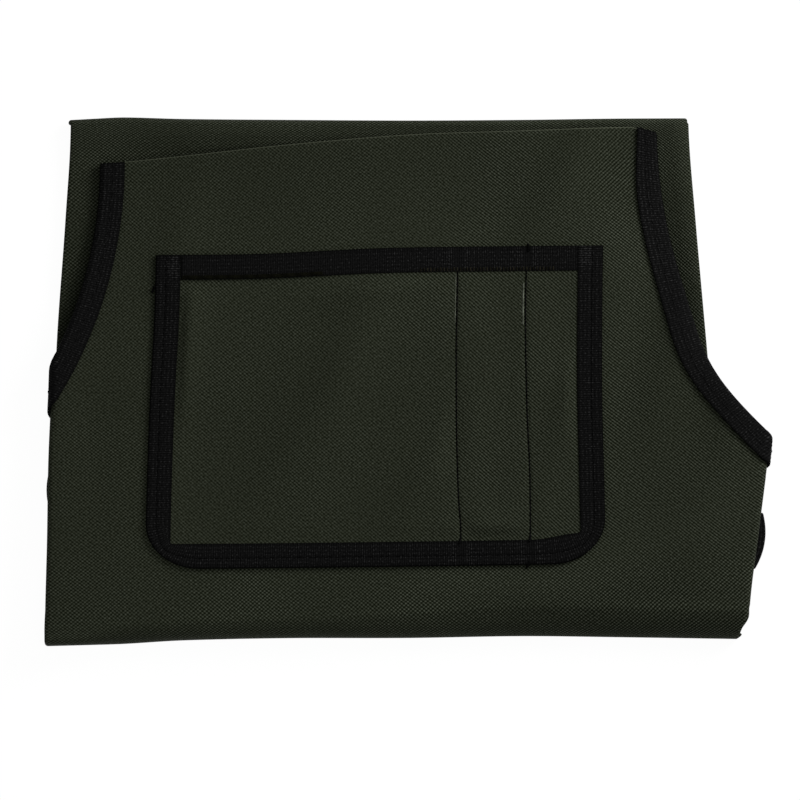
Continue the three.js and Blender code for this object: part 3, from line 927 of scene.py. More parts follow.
@dataclass(frozen=True)
class OxfordCloth:
    """Oxford cloth: plain weave of thick polyester threads, dyed dark olive, matt, with a coated back.

    Each thread stands up where it crosses over the next and sinks where it goes under, which gives the eye a fine
    grid of light crowns and dark gaps. The threads are twisted, so one diagonal of the grid shows more. The shades
    go from the gaps up to the gloss on the crowns, a painted highlight, each with the height where it starts.
    """

    name: str = "oxford_cloth"
    # Gap, middle, crown and gloss; the gloss is a painted highlight on the weave's crowns
    shades: tuple[tuple[float, str], ...] = (
        (0.112, "#0c1006"), (0.4, "#24271d"), (0.72, "#3b3f35"), (0.96, "#505449"),
    )
    # Paler colour along the bib's top edge: a painted highlight
    cut: str = "#565a4c"
    height_gain: float = 0.8
    warp_spacing: float = 0.92 * MM
    weft_spacing: float = 0.77 * MM
    fibre_size: float = 0.92 * MM / 0.9
    fibre_share: float = 0.6
    contrast: float = 0.42
    relief: float = 0.16 * MM
    crisp_size: float = 30 * MM
    patch_size: float = 55 * MM
    patch_share: float = 0.10
    roughness: float = 0.82
    specular: float = 0.03

    def build(self) -> bpy.types.Material:
        """Makes the material.

        With a and b half turns per thread across and down, the weave's height is
        (1 - skew) * cos(a + b) - (1 + skew) * cos(a - b), the two diagonals of a chequered grid. The skew and the
        crispness are marks of the cloth, because the folding pulls the threads askew.

        Returns:
            The material.
        """
        bench = Bench(self.name)
        threads, across, along = bench.pattern()
        a = bench.math("MULTIPLY", across, math.pi / self.warp_spacing)
        b = bench.math("MULTIPLY", along, math.pi / self.weft_spacing)
        down = bench.math("COSINE", bench.math("ADD", a, b))
        up = bench.math("COSINE", bench.math("SUBTRACT", a, b))
        skew = bench.mark("skew")
        down = bench.math("MULTIPLY", down, bench.math("SUBTRACT", 1, skew))
        up = bench.math("MULTIPLY", up, bench.math("ADD", 1, skew))
        weave = bench.math("SUBTRACT", down, up)
        place = bench.object_place()
        uneven = bench.math("ADD", bench.noise(place, self.crisp_size), 0.5)
        gain = bench.math("MULTIPLY", bench.math("MULTIPLY", uneven, self.contrast / 2), bench.mark("crisp"))
        fibre = bench.noise(threads, self.fibre_size, dimensions="2D")
        rough = bench.math("MULTIPLY_ADD", fibre, self.fibre_share, 0.5 - self.fibre_share / 2)
        height = bench.math("MULTIPLY_ADD", weave, gain, rough)
        # The highest crowns reach the gloss stop: a painted highlight
        ramp = add_node(bench.tree, "ValToRGB", inputs={0: bench.math("MULTIPLY", height, self.height_gain)})
        stops = ramp.color_ramp.elements
        first, *between, last = self.shades
        for stop, (start, shade) in zip(stops, (first, last)):
            stop.position, stop.color = start, linear(shade)
        for start, shade in between:
            stops.new(start).color = linear(shade)
        patch = bench.noise(place, self.patch_size, 2.0)
        tone = bench.math("MULTIPLY_ADD", patch, 2 * self.patch_share, 1 - self.patch_share)
        dyed = bench.mix(1.0, ramp.outputs[0], tone, "MULTIPLY")
        bench.emboss(height, self.relief)
        # The bib's top edge is mixed towards the paler colour: a painted highlight
        return bench.coat(bench.mix(bench.mark("cut_edge"), dyed, linear(self.cut)), self.roughness, self.specular)


@dataclass(frozen=True)
class RibbedTape:
    """Woven binding tape or webbing: black polyester with ribs across its length, matt with dull grey flecks.

    The weft bunches up into ribs, which columns of warp cross, so the eye gets rows of small dashes. Where the tape
    is handled most, its fibres are roughened and the flecks are lighter.
    """

    name: str
    ground: str = "#040404"
    crest: str = "#161616"
    fleck: str = "#2e2e2e"
    fleck_start: float = 0.74
    fleck_span: float = 0.3
    worn_start: float = 0.48
    rim_shade_share: float = 0.8
    rib_spacing: float = 1.0 * MM
    rib_share: float = 0.22
    column_spacing: float = 1.7 * MM
    column_share: float = 0.08
    grain: float = 0.8 * MM
    relief: float = 0.14 * MM
    roughness: float = 0.75
    specular: float = 0.012

    def build(self) -> bpy.types.Material:
        """Makes the material.

        The height is a raised cosine along the tape, a little lower between two columns, and uneven by a noise of
        about the ribs' size. Flecks are the places where that is high, more of them where the tape is worn. The
        tape's edges and ends are darker: painted shade.

        Returns:
            The material.
        """
        bench = Bench(self.name)
        place, across, along = bench.pattern()
        rib = bench.math("MULTIPLY", bench.wave(along, self.rib_spacing), self.rib_share)
        regular = bench.math("MULTIPLY_ADD", bench.wave(across, self.column_spacing), self.column_share, rib)
        height = bench.math("ADD", regular, bench.noise(place, self.grain, dimensions="2D"))
        woven = bench.mix(height, linear(self.ground), linear(self.crest))
        worn = self.worn_start - self.fleck_start
        start = bench.math("MULTIPLY_ADD", bench.mark("worn"), worn, self.fleck_start)
        full = bench.math("ADD", start, self.fleck_span)
        light = add_node(bench.tree, "MapRange", inputs={0: height, 1: start, 2: full}).outputs[0]
        flecked = bench.mix(light, woven, linear(self.fleck))
        # Painted shade along the tape's edges and ends, by the rim mark
        dark = bench.math("MULTIPLY", bench.mark("rim"), self.rim_shade_share)
        bench.emboss(height, self.relief)
        return bench.coat(bench.mix(dark, flecked, linear(self.ground)), self.roughness, self.specular)


@dataclass(frozen=True)
class SewingThread:
    """Bonded polyester sewing thread, twisted from three strands, dull.

    Bands is the wave texture's own number of bands to a unit.
    """

    name: str = "sewing_thread"
    colour: str = "#020202"
    worn: str = "#0a0a0a"
    twist: float = 0.5 * MM
    bands: float = 20.0
    distortion: float = 2.0
    roughness: float = 0.7
    specular: float = 0.02

    def build(self) -> bpy.types.Material:
        """Makes the material: dark with lighter bands of twist, from a wave in object coordinates.

        Returns:
            The material.
        """
        bench = Bench(self.name)
        inputs = {"Vector": bench.object_place(), "Scale": 1 / (self.bands * self.twist)}
        inputs["Distortion"] = self.distortion
        twist = add_node(bench.tree, "TexWave", {"bands_direction": "DIAGONAL"}, inputs).outputs["Fac"]
        return bench.coat(bench.mix(twist, linear(self.colour), linear(self.worn)), self.roughness, self.specular)


def lay(
    piece: bpy.types.Object, node: str
) -> bpy.types.Object:
    """Args:
        piece: the sheet.
        node: the solid that it stands for.

    Returns:
        The same sheet.
    """
    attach(piece, "root")
    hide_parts(node)
    return piece


@dataclass(frozen=True)
class ApronBody:
    """The one cut of cloth: bib, waist and skirt, with its sides folded behind and its skirt folded under."""

    fold: ClothFold
    panel_columns: int = 42
    bend_columns: int = 14
    flap_columns: int = 24
    armhole_rows: int = 84
    waist_rows: int = 12
    roll_rows: int = 44
    back_rows: int = 24
    top_rows: int = 14
    inner_rows: int = 40
    panel_share: float = 0.87
    bend_share: float = 0.95
    # Spread of the painted highlight along the bib's top edge
    cut_edge: float = 0.2 * MM
    corner_width: float = 9 * MM
    corner_depth: float = 3.4 * MM
    corner_fade: Span = (0.08, 0)

    def stations(self) -> Array:
        """Rows of the grid along the fold path, close together at both cut ends and round the rolls.

        Returns:
            Rising stations.
        """
        fold = self.fold
        rim = edge_steps(CLOTH)
        turn = np.linspace(np.arcsin(rim[-1] / fold.armhole_depth), np.pi / 2, self.armhole_rows)
        armhole = fold.armhole_depth / fold.front_length * np.sin(turn)
        hem = 5 - rim[::-1] / float(fold.length_to(5.0) - fold.length_to(4.0))
        ends = [armhole[-1], 1, 2, 3, 4, hem[0]]
        rows = [self.waist_rows, self.roll_rows, self.back_rows, self.top_rows, self.inner_rows]
        runs = [np.linspace(*span, count)[1:] for *span, count in zip(ends, ends[1:], rows)]
        return np.concatenate([rim[:-1] / fold.front_length, armhole, *runs, hem[1:]])

    def columns(self, stations: Array, side: Side) -> Array:
        """Distances from the centre line to one cut edge for each row: panel, side fold, flap and rim.

        Where a row is too narrow to have a flap, the columns share out what there is of it.

        Args:
            stations: the grid's rows.
            side: which side of the centre line.

        Returns:
            Distances, rows by columns, without the centre line itself.
        """
        half = self.fold.half_width(stations)[:, None]
        flat, radius = (part[:, None] for part in self.fold.side_fold(stations, np.full(len(stations), side.value)))
        panel = np.minimum(flat, self.panel_share * half)
        bend = np.minimum(flat + np.pi * radius, self.bend_share * half)
        end = half - CLOTH / 2
        runs = [
            panel * np.linspace(0, 1, self.panel_columns)[1:],
            panel + (bend - panel) * np.linspace(0, 1, self.bend_columns)[1:],
            bend + (end - bend) * np.linspace(0, 1, self.flap_columns)[1:],
            half - edge_steps(CLOTH)[::-1][1:],
        ]
        return np.concatenate(runs, axis=1)

    def corner_cut(self, station: Array, across: Array) -> Array:
        """How far the bib's upper right corner is cut back under its tape, in stations."""
        edge = self.fold.bib_half_width
        share = np.clip((across - edge + self.corner_width) / self.corner_width, 0, 1)
        return self.corner_depth / self.fold.front_length * share * smoothstep(station, *self.corner_fade)

    def build(self, finish: bpy.types.Material) -> bpy.types.Object:
        """Makes the cloth.

        Args:
            finish: the Oxford cloth.

        Returns:
            The cloth, laid on its body.
        """
        fold = self.fold
        threads = ThreadLay(fold)
        stations = self.stations()
        left = -self.columns(stations, Side.LEFT)[:, ::-1]
        across = np.concatenate([left, np.zeros((len(stations), 1)), self.columns(stations, Side.RIGHT)], axis=1)
        station = np.broadcast_to(stations[:, None], across.shape)
        down = fold.length_to(station)
        length = float(fold.length_to(5.0))
        rim = np.minimum(fold.half_width(station) - np.abs(across), np.minimum(down, length - down))
        half = rounded_half(rim, CLOTH)
        station = station + self.corner_cut(station, across)
        faces = [fold.place(station, across, lift) for lift in (half, -half)]
        # A thin line along the bib's top edge gets the painted highlight
        marks = {"cut_edge": bell(down, self.cut_edge)} | threads.marks(station, across)
        piece = Wall(*faces, threads.weave(station, across), marks).build("apron_cloth", finish)
        width = 2 * fold.half_width(stations)
        return lay(piece, "apron_body")


@dataclass(frozen=True)
class TapeSection:
    """Section of a tape folded over a cloth's edge, and how its sewn line pulls it down on both faces."""

    sewn: float
    thickness: float = TAPE
    reach: float = TAPE_REACH
    pinch: float = 0.2 * MM
    pinch_spread: float = 1.0 * MM
    columns: int = 18
    arc_columns: int = 9

    @property
    def leg(self) -> float:
        """Width of the tape on one face, from its free edge to the fold's arc."""
        return TAPE_WIDTH - self.reach

    @property
    def radius(self) -> float:
        """Radius of the middle of the tape where it goes round the cloth's edge."""
        return self.reach - self.thickness / 2

    @property
    def width(self) -> float:
        """Width of the tape laid flat."""
        return 2 * self.leg + np.pi * self.radius

    def across(self) -> Array:
        """Places of the grid's columns across the flat tape, from its free edge in front to that behind."""
        return hairpin(self.leg, self.radius, self.thickness, self.columns, self.arc_columns)

    def point(self, across: Array, half: Array) -> tuple[Array, Array]:
        """Place in the section: straight legs and a half circle round the edge, less a dip at the sewn line.

        Args:
            across: places across the flat tape.
            half: distance from the tape's middle, positive outwards.

        Returns:
            Distance from the cloth's edge into the cloth, and height over the cloth's middle.
        """
        turn = np.clip((across - self.leg) / self.radius, 0, np.pi)
        behind = np.maximum(across - self.leg - np.pi * self.radius, 0)
        into = np.maximum(self.leg - across, 0) + behind
        dip = self.pinch * bell(self.leg - into - self.sewn, self.pinch_spread)
        middle = self.radius + half
        return into - middle * np.sin(turn), (middle - np.where(into > 0, dip, 0)) * np.cos(turn)


@dataclass(frozen=True, kw_only=True)
class BindingTape(ABC):
    """A tape folded over an edge. Its kinds say where a run along it goes."""

    name: str
    node: str
    section: TapeSection
    row_spacing: float = 1.1 * MM
    rim_shade_spread: float = 0.55 * MM

    @abstractmethod
    def length(self) -> float:
        """Length of the tape along the edge."""

    @abstractmethod
    def lay_on(self, run: Array, into: Array, lift: Array) -> Array:
        """Points at a share of the way along the tape, a distance into the cloth and a height over its middle.

        Args:
            run: share of the way along the tape.
            into: distance from the edge into the cloth.
            lift: height over the cloth's middle.

        Returns:
            Points, with 3 as the last axis.
        """

    @abstractmethod
    def wear(self, x: Array, y: Array, ends: Array, across: Array) -> Array:
        """How rough the tape is, from -1 pressed smooth to 1 worn.

        Args:
            x: places in plan.
            y: places in plan.
            ends: distances to the tape's nearer end.
            across: places across the flat tape.

        Returns:
            The roughness.
        """

    def build(self, finish: bpy.types.Material, carrier: str) -> bpy.types.Object:
        """Makes the tape as a grid of places along it and across it.

        Args:
            finish: the woven tape.
            carrier: name of the piece that it is sewn to; not used.

        Returns:
            The tape, laid on its body.
        """
        section = self.section
        length = self.length()
        rim = edge_steps(section.thickness) / length
        rows = np.linspace(rim[-1], 1 - rim[-1], int(length / self.row_spacing))
        runs = np.concatenate([rim[:-1], rows, 1 - rim[:-1][::-1]])
        run, across = np.meshgrid(runs, section.across(), indexing="ij")
        ends = length * np.minimum(run, 1 - run)
        half = rounded_half(np.minimum(ends, np.minimum(across, section.width - across)), section.thickness)
        front, back = (self.lay_on(run, *section.point(across, lift)) for lift in (half, -half))
        # Painted shade on the tape's free edge, on its fold round the cloth's edge, and at its ends
        dark = bell(across, self.rim_shade_spread) + bell(across - section.width / 2, 2 * self.rim_shade_spread)
        marks = {
            "worn": self.wear(front[..., 0], front[..., 1], ends, across),
            "rim": np.maximum(dark, bell(ends, self.rim_shade_spread)),
        }
        piece = Wall(front, back, np.stack([across, run * length], -1), marks).build(self.name, finish)
        return lay(piece, self.node)

    def sewn_line(self, spacing: float, radius: float) -> Array:
        """Points along the tape's sewn line on its front, where its thread lies, at an even spacing.

        Args:
            spacing: distance from stitch to stitch.
            radius: the thread's radius.

        Returns:
            The stitches' middles in order.
        """
        count = int(self.length() / spacing)
        run = (np.arange(count) + 0.5) / count
        across = np.full(count, self.section.sewn)
        lift = np.full(count, self.section.thickness / 2 + THREAD_STAND * radius)
        return self.lay_on(run, *self.section.point(across, lift))


@dataclass(frozen=True, kw_only=True)
class ArmholeTape(BindingTape):
    """Tape along one armhole: it follows the cut's ellipse on the flat cloth, and so goes round the side fold."""

    fold: ClothFold
    side: Side
    end_corner: float
    end_slant: float
    end_taper: float
    taper_reach: float = 32 * MM
    worn: float
    worn_span: Span = (10 * MM, 70 * MM)
    turn_steps: int = 400

    def wear(self, x: Array, y: Array, ends: Array, across: Array) -> Array:
        """Rougher towards the bib's top."""
        return self.worn * smoothstep(y, *self.worn_span)

    def ellipse(self) -> tuple[Array, Array]:
        """Angles round the armhole's ellipse, and the length of tape to each."""
        turn = np.linspace(0, np.pi / 2, self.turn_steps)
        edge = np.stack([-self.fold.armhole_flare * np.cos(turn), self.fold.armhole_depth * np.sin(turn)], -1)
        return turn, run_length(edge)

    def length(self) -> float:
        """Length of the quarter ellipse."""
        return float(self.ellipse()[1][-1])

    def lay_on(self, run: Array, into: Array, lift: Array) -> Array:
        """Points on the folded cloth, from the bib's top down.

        A point lies on the ellipse's inward normal. The tape's top end is cut at a slant, rounded at its outer
        corner, and drawn in a little.

        Args:
            run: share of the way along the tape.
            into: distance from the edge into the cloth.
            lift: height over the cloth's middle.

        Returns:
            Points, with 3 as the last axis.
        """
        turns, lengths = self.ellipse()
        short = np.clip(1 - (into + TAPE_REACH) / self.end_corner, 0, 1)
        start = self.end_corner * (1 - np.sqrt(1 - short**2))
        start = start + self.end_slant * (1 - (np.maximum(into, 0) + TAPE_REACH) / TAPE_WIDTH)
        length = start + (lengths[-1] - start) * run
        turn = np.interp(length, lengths, turns)
        into = into * np.where(into > 0, 1 - self.end_taper * smoothstep(length, self.taper_reach, 0), 1)
        flare, depth = self.fold.armhole_flare, self.fold.armhole_depth
        slant = np.hypot(flare * np.sin(turn), depth * np.cos(turn))
        half = self.fold.bib_half_width + flare * (1 - np.cos(turn)) - into * depth * np.cos(turn) / slant
        down = depth * np.sin(turn) + into * flare * np.sin(turn) / slant
        return self.fold.place(down / self.fold.front_length, self.side.value * half, lift)


@dataclass(frozen=True, kw_only=True)
class PocketTape(BindingTape):
    """Tape over the pocket cloth's edge, between rails of outer and inner points. The slot lines press it down."""

    shape: PocketShape
    pocket_start: float = 60 * MM
    pocket_height: float = 140 * MM
    press: float = 0.22 * MM
    press_spread: float = 1.4 * MM
    end_wear: float = 0.0
    end_wear_span: Span = (11 * MM, 7.7 * MM)
    end_wear_across: Span = (7.5 * MM, 5.5 * MM)
    bar: float = 1.7 * MM
    beside: float = 3.6 * MM
    beside_wear: float = 0.5

    @abstractmethod
    def rails(self) -> tuple[Array, Array]:
        """Outer and inner edges of the tape, in plan."""

    def offset(self, x: Array, y: Array) -> Array:
        """Distance from the nearest slot line."""
        return self.shape.slot_offset(x, (self.pocket_start - y) / self.pocket_height)

    def wear(self, x: Array, y: Array, ends: Array, across: Array) -> Array:
        """Smooth in a bar under each slot line, rough on both its sides, and worn inwards at the tape's ends."""
        offset = self.offset(x, y)
        bar = np.exp(-((offset / self.bar) ** 4))
        end = self.end_wear * smoothstep(ends, *self.end_wear_span) * smoothstep(across, *self.end_wear_across)
        return end + self.beside_wear * bell(offset - self.beside, self.bar) - bar

    def middle(self) -> Array:
        """Length along the middle of the tape's face, at each pair of its rails' points."""
        outer, inner = self.rails()
        return run_length((outer + inner) / 2)

    def length(self) -> float:
        """Length along the middle of the tape's face."""
        return float(self.middle()[-1])

    def lay_on(self, run: Array, into: Array, lift: Array) -> Array:
        """Points over the pocket: from the outer rail towards the inner one, at the pocket's height.

        Args:
            run: share of the way along the tape.
            into: distance from the edge into the cloth.
            lift: height over the cloth's middle.

        Returns:
            Points, with 3 as the last axis.
        """
        middle = self.middle()
        share = middle / middle[-1]
        ends = [np.interp(run, share, rail[:, axis]) for rail in self.rails() for axis in (0, 1)]
        wide = np.hypot(ends[2] - ends[0], ends[3] - ends[1])
        stretch = np.where(into > 0, (wide - self.section.reach) / self.section.leg, 1)
        reach = (self.section.reach + into * stretch) / wide
        x = ends[0] + (ends[2] - ends[0]) * reach
        y = ends[1] + (ends[3] - ends[1]) * reach
        pressed = self.press * bell(self.offset(x, y), self.press_spread) * np.sign(lift)
        return np.stack([x, y, self.shape.height(x, y) + lift - pressed], -1)


@dataclass(frozen=True, kw_only=True)
class PocketEdgeTape(PocketTape):
    """Tape down the left side, round both lower corners and up the right side."""

    bottom_rows: int = 120

    def rails(self) -> tuple[Array, Array]:
        """Left rail, bottom and right rail in one run.

        Returns:
            Outer and inner points in plan.
        """
        shape = self.shape
        share = np.linspace(0, 1, self.bottom_rows)[1:-1]
        joined = []
        for rail, (start, end) in enumerate(zip(shape.rail(Side.LEFT), shape.rail(Side.RIGHT))):
            x = start[-1, 0] + (end[-1, 0] - start[-1, 0]) * share
            bottom = np.stack([x, pocket_bottom(x) + rail * (TAPE_WIDTH + shape.inner_rise(x))], -1)
            joined.append(np.concatenate([start, bottom, end[::-1]]))
        return joined[0], joined[1]


@dataclass(frozen=True, kw_only=True)
class PocketMouthTape(PocketTape):
    """Tape over the pocket's mouth, between the two ends of the edge tape."""

    columns: int = 120
    end_gap: float = 0.02 * MM
    smoother: Rise = Rise(-0.3, 5 * MM, -40 * MM)

    def wear(self, x: Array, y: Array, ends: Array, across: Array) -> Array:
        """As on the other tapes, but smoother on the left half."""
        return super().wear(x, y, ends, across) + self.smoother.at(x)

    def rails(self) -> tuple[Array, Array]:
        """The mouth's edge, and a line one tape's width below it.

        Returns:
            Outer and inner points in plan.
        """
        start = float(pocket_left(0.0)) + TAPE_WIDTH + self.end_gap
        end = float(pocket_right(0.0)) - TAPE_WIDTH - self.end_gap
        x = np.linspace(start, end, self.columns)
        outer = np.stack([x, pocket_top(x)], -1)
        return outer, outer - np.array([0, TAPE_WIDTH])


@dataclass(frozen=True)
class ChestPocket:
    """The pocket's cloth: a panel that bulges softly, and dips where the slot lines are sewn through it."""

    shape: PocketShape
    dent: float = 0.4 * MM
    dent_spread: float = 0.8 * MM
    puff: float = 0.3 * MM
    puff_spread: float = 6 * MM
    end_fade: Span = (0.085, 0.13)
    edge_window: float = 5 * MM
    lowest: float = -0.62 * MM
    softness: float = 0.2 * MM
    sag: Rise = Rise(0.6 * MM, -10 * MM, -60 * MM)
    sag_start: Span = (10.6 * MM, 12.2 * MM)
    sag_end: Span = (20 * MM, 13 * MM)
    plain_columns: int = 110
    slot_columns: int = 16
    slot_reach: float = 7 * MM
    thread_lean: float = -0.8
    thread_rise: float = -2.6
    warp_wander: Wander = Wander(0.25 * MM, 13 * MM, 27 * MM)
    skew_left: float = -0.25
    skew_right: Rise = Rise(-0.3, -40 * MM, 40 * MM)
    crisp_left: float = 0.82
    crisp_right: Rise = Rise(0.12, -20 * MM, 45 * MM)

    def relief(self, x: Array, down: Array) -> Array:
        """Height over the flat pocket.

        Soft folds and a puff beside each slot line fade out towards the tape. The dent of a slot line is
        exp(-(offset / spread)^2). The cloth sags away below the left part of the mouth tape. A soft floor keeps it
        off the bib.

        Args:
            x: places in metres.
            down: share of the way down the pocket.

        Returns:
            Height in metres, below zero in the dents.
        """
        y = self.shape.at(x, down)[..., 1]
        below = pocket_top(x) - y
        offset = self.shape.slot_offset(x, down)
        inside = np.minimum(x - pocket_left(down), pocket_right(down) - x)
        fade = smoothstep(np.minimum(down, 1 - down), *self.end_fade)
        window = smoothstep(inside, TAPE_WIDTH, TAPE_WIDTH + self.edge_window) * fade
        puff = self.puff * bell(offset - self.puff_spread, self.puff_spread)
        folds = (1 - bell(offset, self.puff_spread)) * soft_folds(POCKET_FOLDS, x, y)
        sag = self.sag.at(x) * smoothstep(below, *self.sag_start) * smoothstep(below, *self.sag_end)
        dent = self.dent * bell(offset, self.dent_spread) * fade
        over = window * (folds + puff) - sag - dent - self.lowest
        return self.lowest + (over + np.sqrt(over**2 + self.softness**2)) / 2

    def over(self, x: Array, down: Array, lift: Array) -> Array:
        """Points over the pocket cloth's middle."""
        plan = self.shape.at(x, down)
        height = self.shape.height(plan[..., 0], plan[..., 1]) + self.relief(x, down) + lift
        return np.concatenate([plan, height[..., None]], -1)

    def edge(self, side: Side) -> tuple[Array, Array]:
        """One side edge of the cloth, inside its tape: x, and share of the way down the pocket.

        Args:
            side: which side of the pocket.

        Returns:
            Both for each row of the grid, from the top down.
        """
        outer, inner = self.shape.rail(side)
        into = (inner - outer) / np.linalg.norm(inner - outer, axis=1, keepdims=True)
        x, y = (outer + POCKET_REACH * into).T
        first = POCKET_REACH / float(pocket_top(0.0) - pocket_bottom(0.0))
        return x, np.maximum((pocket_top(x) - y) / (pocket_top(x) - pocket_bottom(x)), first)

    def build(self, finish: bpy.types.Material) -> bpy.types.Object:
        """Makes the pocket cloth between its edges under the tape, with close columns at the slot lines.

        Args:
            finish: the Oxford cloth.

        Returns:
            The cloth, laid on its body.
        """
        (left, left_down), (right, right_down) = (self.edge(side) for side in Side)
        near = SLOT_X[:, None] + np.linspace(-self.slot_reach, self.slot_reach, self.slot_columns)
        near = (near.ravel() - left[0]) / (right[0] - left[0])
        across = np.union1d(np.linspace(0, 1, self.plain_columns), near)
        x = left[:, None] + (right - left)[:, None] * across
        down = left_down[:, None] + (right_down - left_down)[:, None] * across
        half = np.full(x.shape, POCKET_CLOTH / 2)
        half[[0, -1]] = 0
        half[:, [0, -1]] = 0
        front = self.over(x, down, half)
        y = front[..., 1]
        lean, rise = np.tan(np.radians([self.thread_lean, self.thread_rise]))
        pattern = np.stack([x + y * lean + self.warp_wander.at(y, x), y - x * rise], -1)
        marks = {
            "cut_edge": np.zeros(x.shape),
            "skew": self.skew_left + self.skew_right.at(x),
            "crisp": self.crisp_left + self.crisp_right.at(x),
        }
        piece = Wall(front, self.over(x, down, -half), pattern, marks).build("pocket_cloth", finish)
        return lay(piece, "chest_pocket")


@dataclass(frozen=True)
class WaistStrap:
    """One webbing strap: two plies that meet in the fold at its tip, which bulges a little."""

    side: Side
    tip: tuple[float, float]
    slant: float
    length: float
    bulge: float = 2.6 * MM
    columns: int = 24
    leg_rows: int = 70
    bend_rows: int = 16

    def build(self, finish: bpy.types.Material) -> bpy.types.Object:
        """Makes the strap: a hairpin profile along its length, carried across its width.

        Args:
            finish: the webbing.

        Returns:
            The strap, laid on its body.
        """
        radius = (STRAP_HIGH_Z - STRAP_LOW_Z) / 2
        leg = self.length - radius - WEBBING / 2
        flat = 2 * leg + np.pi * radius
        rim = edge_steps(WEBBING) - STRAP_WIDTH / 2
        columns = np.concatenate([rim[:-1], np.linspace(rim[-1], -rim[-1], self.columns), -rim[:-1][::-1]])
        rows = hairpin(leg, radius, WEBBING, self.leg_rows, self.bend_rows)
        run, across = np.meshgrid(rows, columns, indexing="ij")
        half = rounded_half(np.minimum(np.minimum(run, flat - run), STRAP_WIDTH / 2 - np.abs(across)), WEBBING)
        turn = np.clip((run - leg) / radius, 0, np.pi)
        behind = np.maximum(run - leg - np.pi * radius, 0)
        axis = np.array([self.side.value * math.cos(self.slant), -math.sin(self.slant)])
        pulled = self.bulge * (2 * across / STRAP_WIDTH) ** 2

        def face(lift: Array) -> Array:
            """Points of one face: out along the upper ply, round the fold and back along the lower one."""
            along = np.minimum(run, leg) - behind + (radius + lift) * np.sin(turn)
            reach = along - self.length - pulled * along / self.length
            x = self.tip[0] + axis[0] * reach - axis[1] * across
            y = self.tip[1] + axis[1] * reach + axis[0] * across
            z = (STRAP_HIGH_Z + STRAP_LOW_Z) / 2 + (radius + lift) * np.cos(turn)
            return np.stack([x, y, z], -1)

        name = self.side.name.lower()
        wall = Wall(face(half), face(-half), np.stack([across, run], -1))
        piece = wall.build(f"waist_webbing_{name}", finish)
        return lay(piece, f"waist_strap_{name}")


@dataclass(frozen=True)
class Stitching:
    """Rows of stitches: each is a short spindle of thread that lies along its row, or across it."""

    radius: float = 0.33 * MM
    spacing: float = 2.9 * MM
    length: float = 3.2 * MM
    crosswise: bool = False
    rings: int = 7
    sides: int = 6

    def build(self, name: str, rows: list[Array], finish: bpy.types.Material) -> bpy.types.Object:
        """Makes all stitches of some rows as one mesh.

        A spindle's radius at t from -1 to 1 along it is its middle radius times sqrt(1 - t^4), and both its tips
        are closed by a point.

        Args:
            name: the object's name.
            rows: for each row, its stitches' middles in order.
            finish: the thread.

        Returns:
            The stitches, laid on their body.
        """
        middle = np.concatenate(rows)
        along = np.concatenate([np.gradient(row, axis=0) for row in rows])
        along = along / np.linalg.norm(along, axis=1, keepdims=True)
        aside = np.cross(along, [0.0, 0.0, 1.0])
        aside = aside / np.linalg.norm(aside, axis=1, keepdims=True)
        upward = np.cross(aside, along)
        if self.crosswise:
            along, aside = aside, -along
        t = np.linspace(-1, 1, self.rings + 2)[1:-1]
        turn = 2 * np.pi * np.arange(self.sides) / self.sides
        ring = self.radius * np.sqrt(1 - t**4)
        out = np.cos(turn)[:, None] * aside[:, None, :] + np.sin(turn)[:, None] * upward[:, None, :]
        reach = self.length / 2
        axis = middle[:, None, :] + reach * t[:, None] * along[:, None, :]
        rings = axis[:, :, None, :] + ring[:, None, None] * out[:, None, :, :]
        tips = middle[:, None, :] + reach * np.array([-1, 1])[:, None] * along[:, None, :]
        points = np.concatenate([rings.reshape(len(middle), -1, 3), tips], axis=1)
        grid = np.arange(self.rings * self.sides).reshape(self.rings, self.sides)
        onward = np.roll(grid, -1, axis=1)
        squares = np.stack([grid[:-1], onward[:-1], onward[1:], grid[1:]], -1).reshape(-1, 4)
        first = np.stack([np.full(self.sides, grid.size), onward[0], grid[0]], -1)
        last = np.stack([np.full(self.sides, grid.size + 1), grid[-1], onward[-1]], -1)
        starts = points.shape[1] * np.arange(len(middle))[:, None, None]
        faces = [(part + starts).reshape(-1, part.shape[1]).tolist() for part in (squares, first, last)]
        piece = new_piece(name, points.reshape(-1, 3), sum(faces, []), finish)
        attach(piece, "root")
        return piece


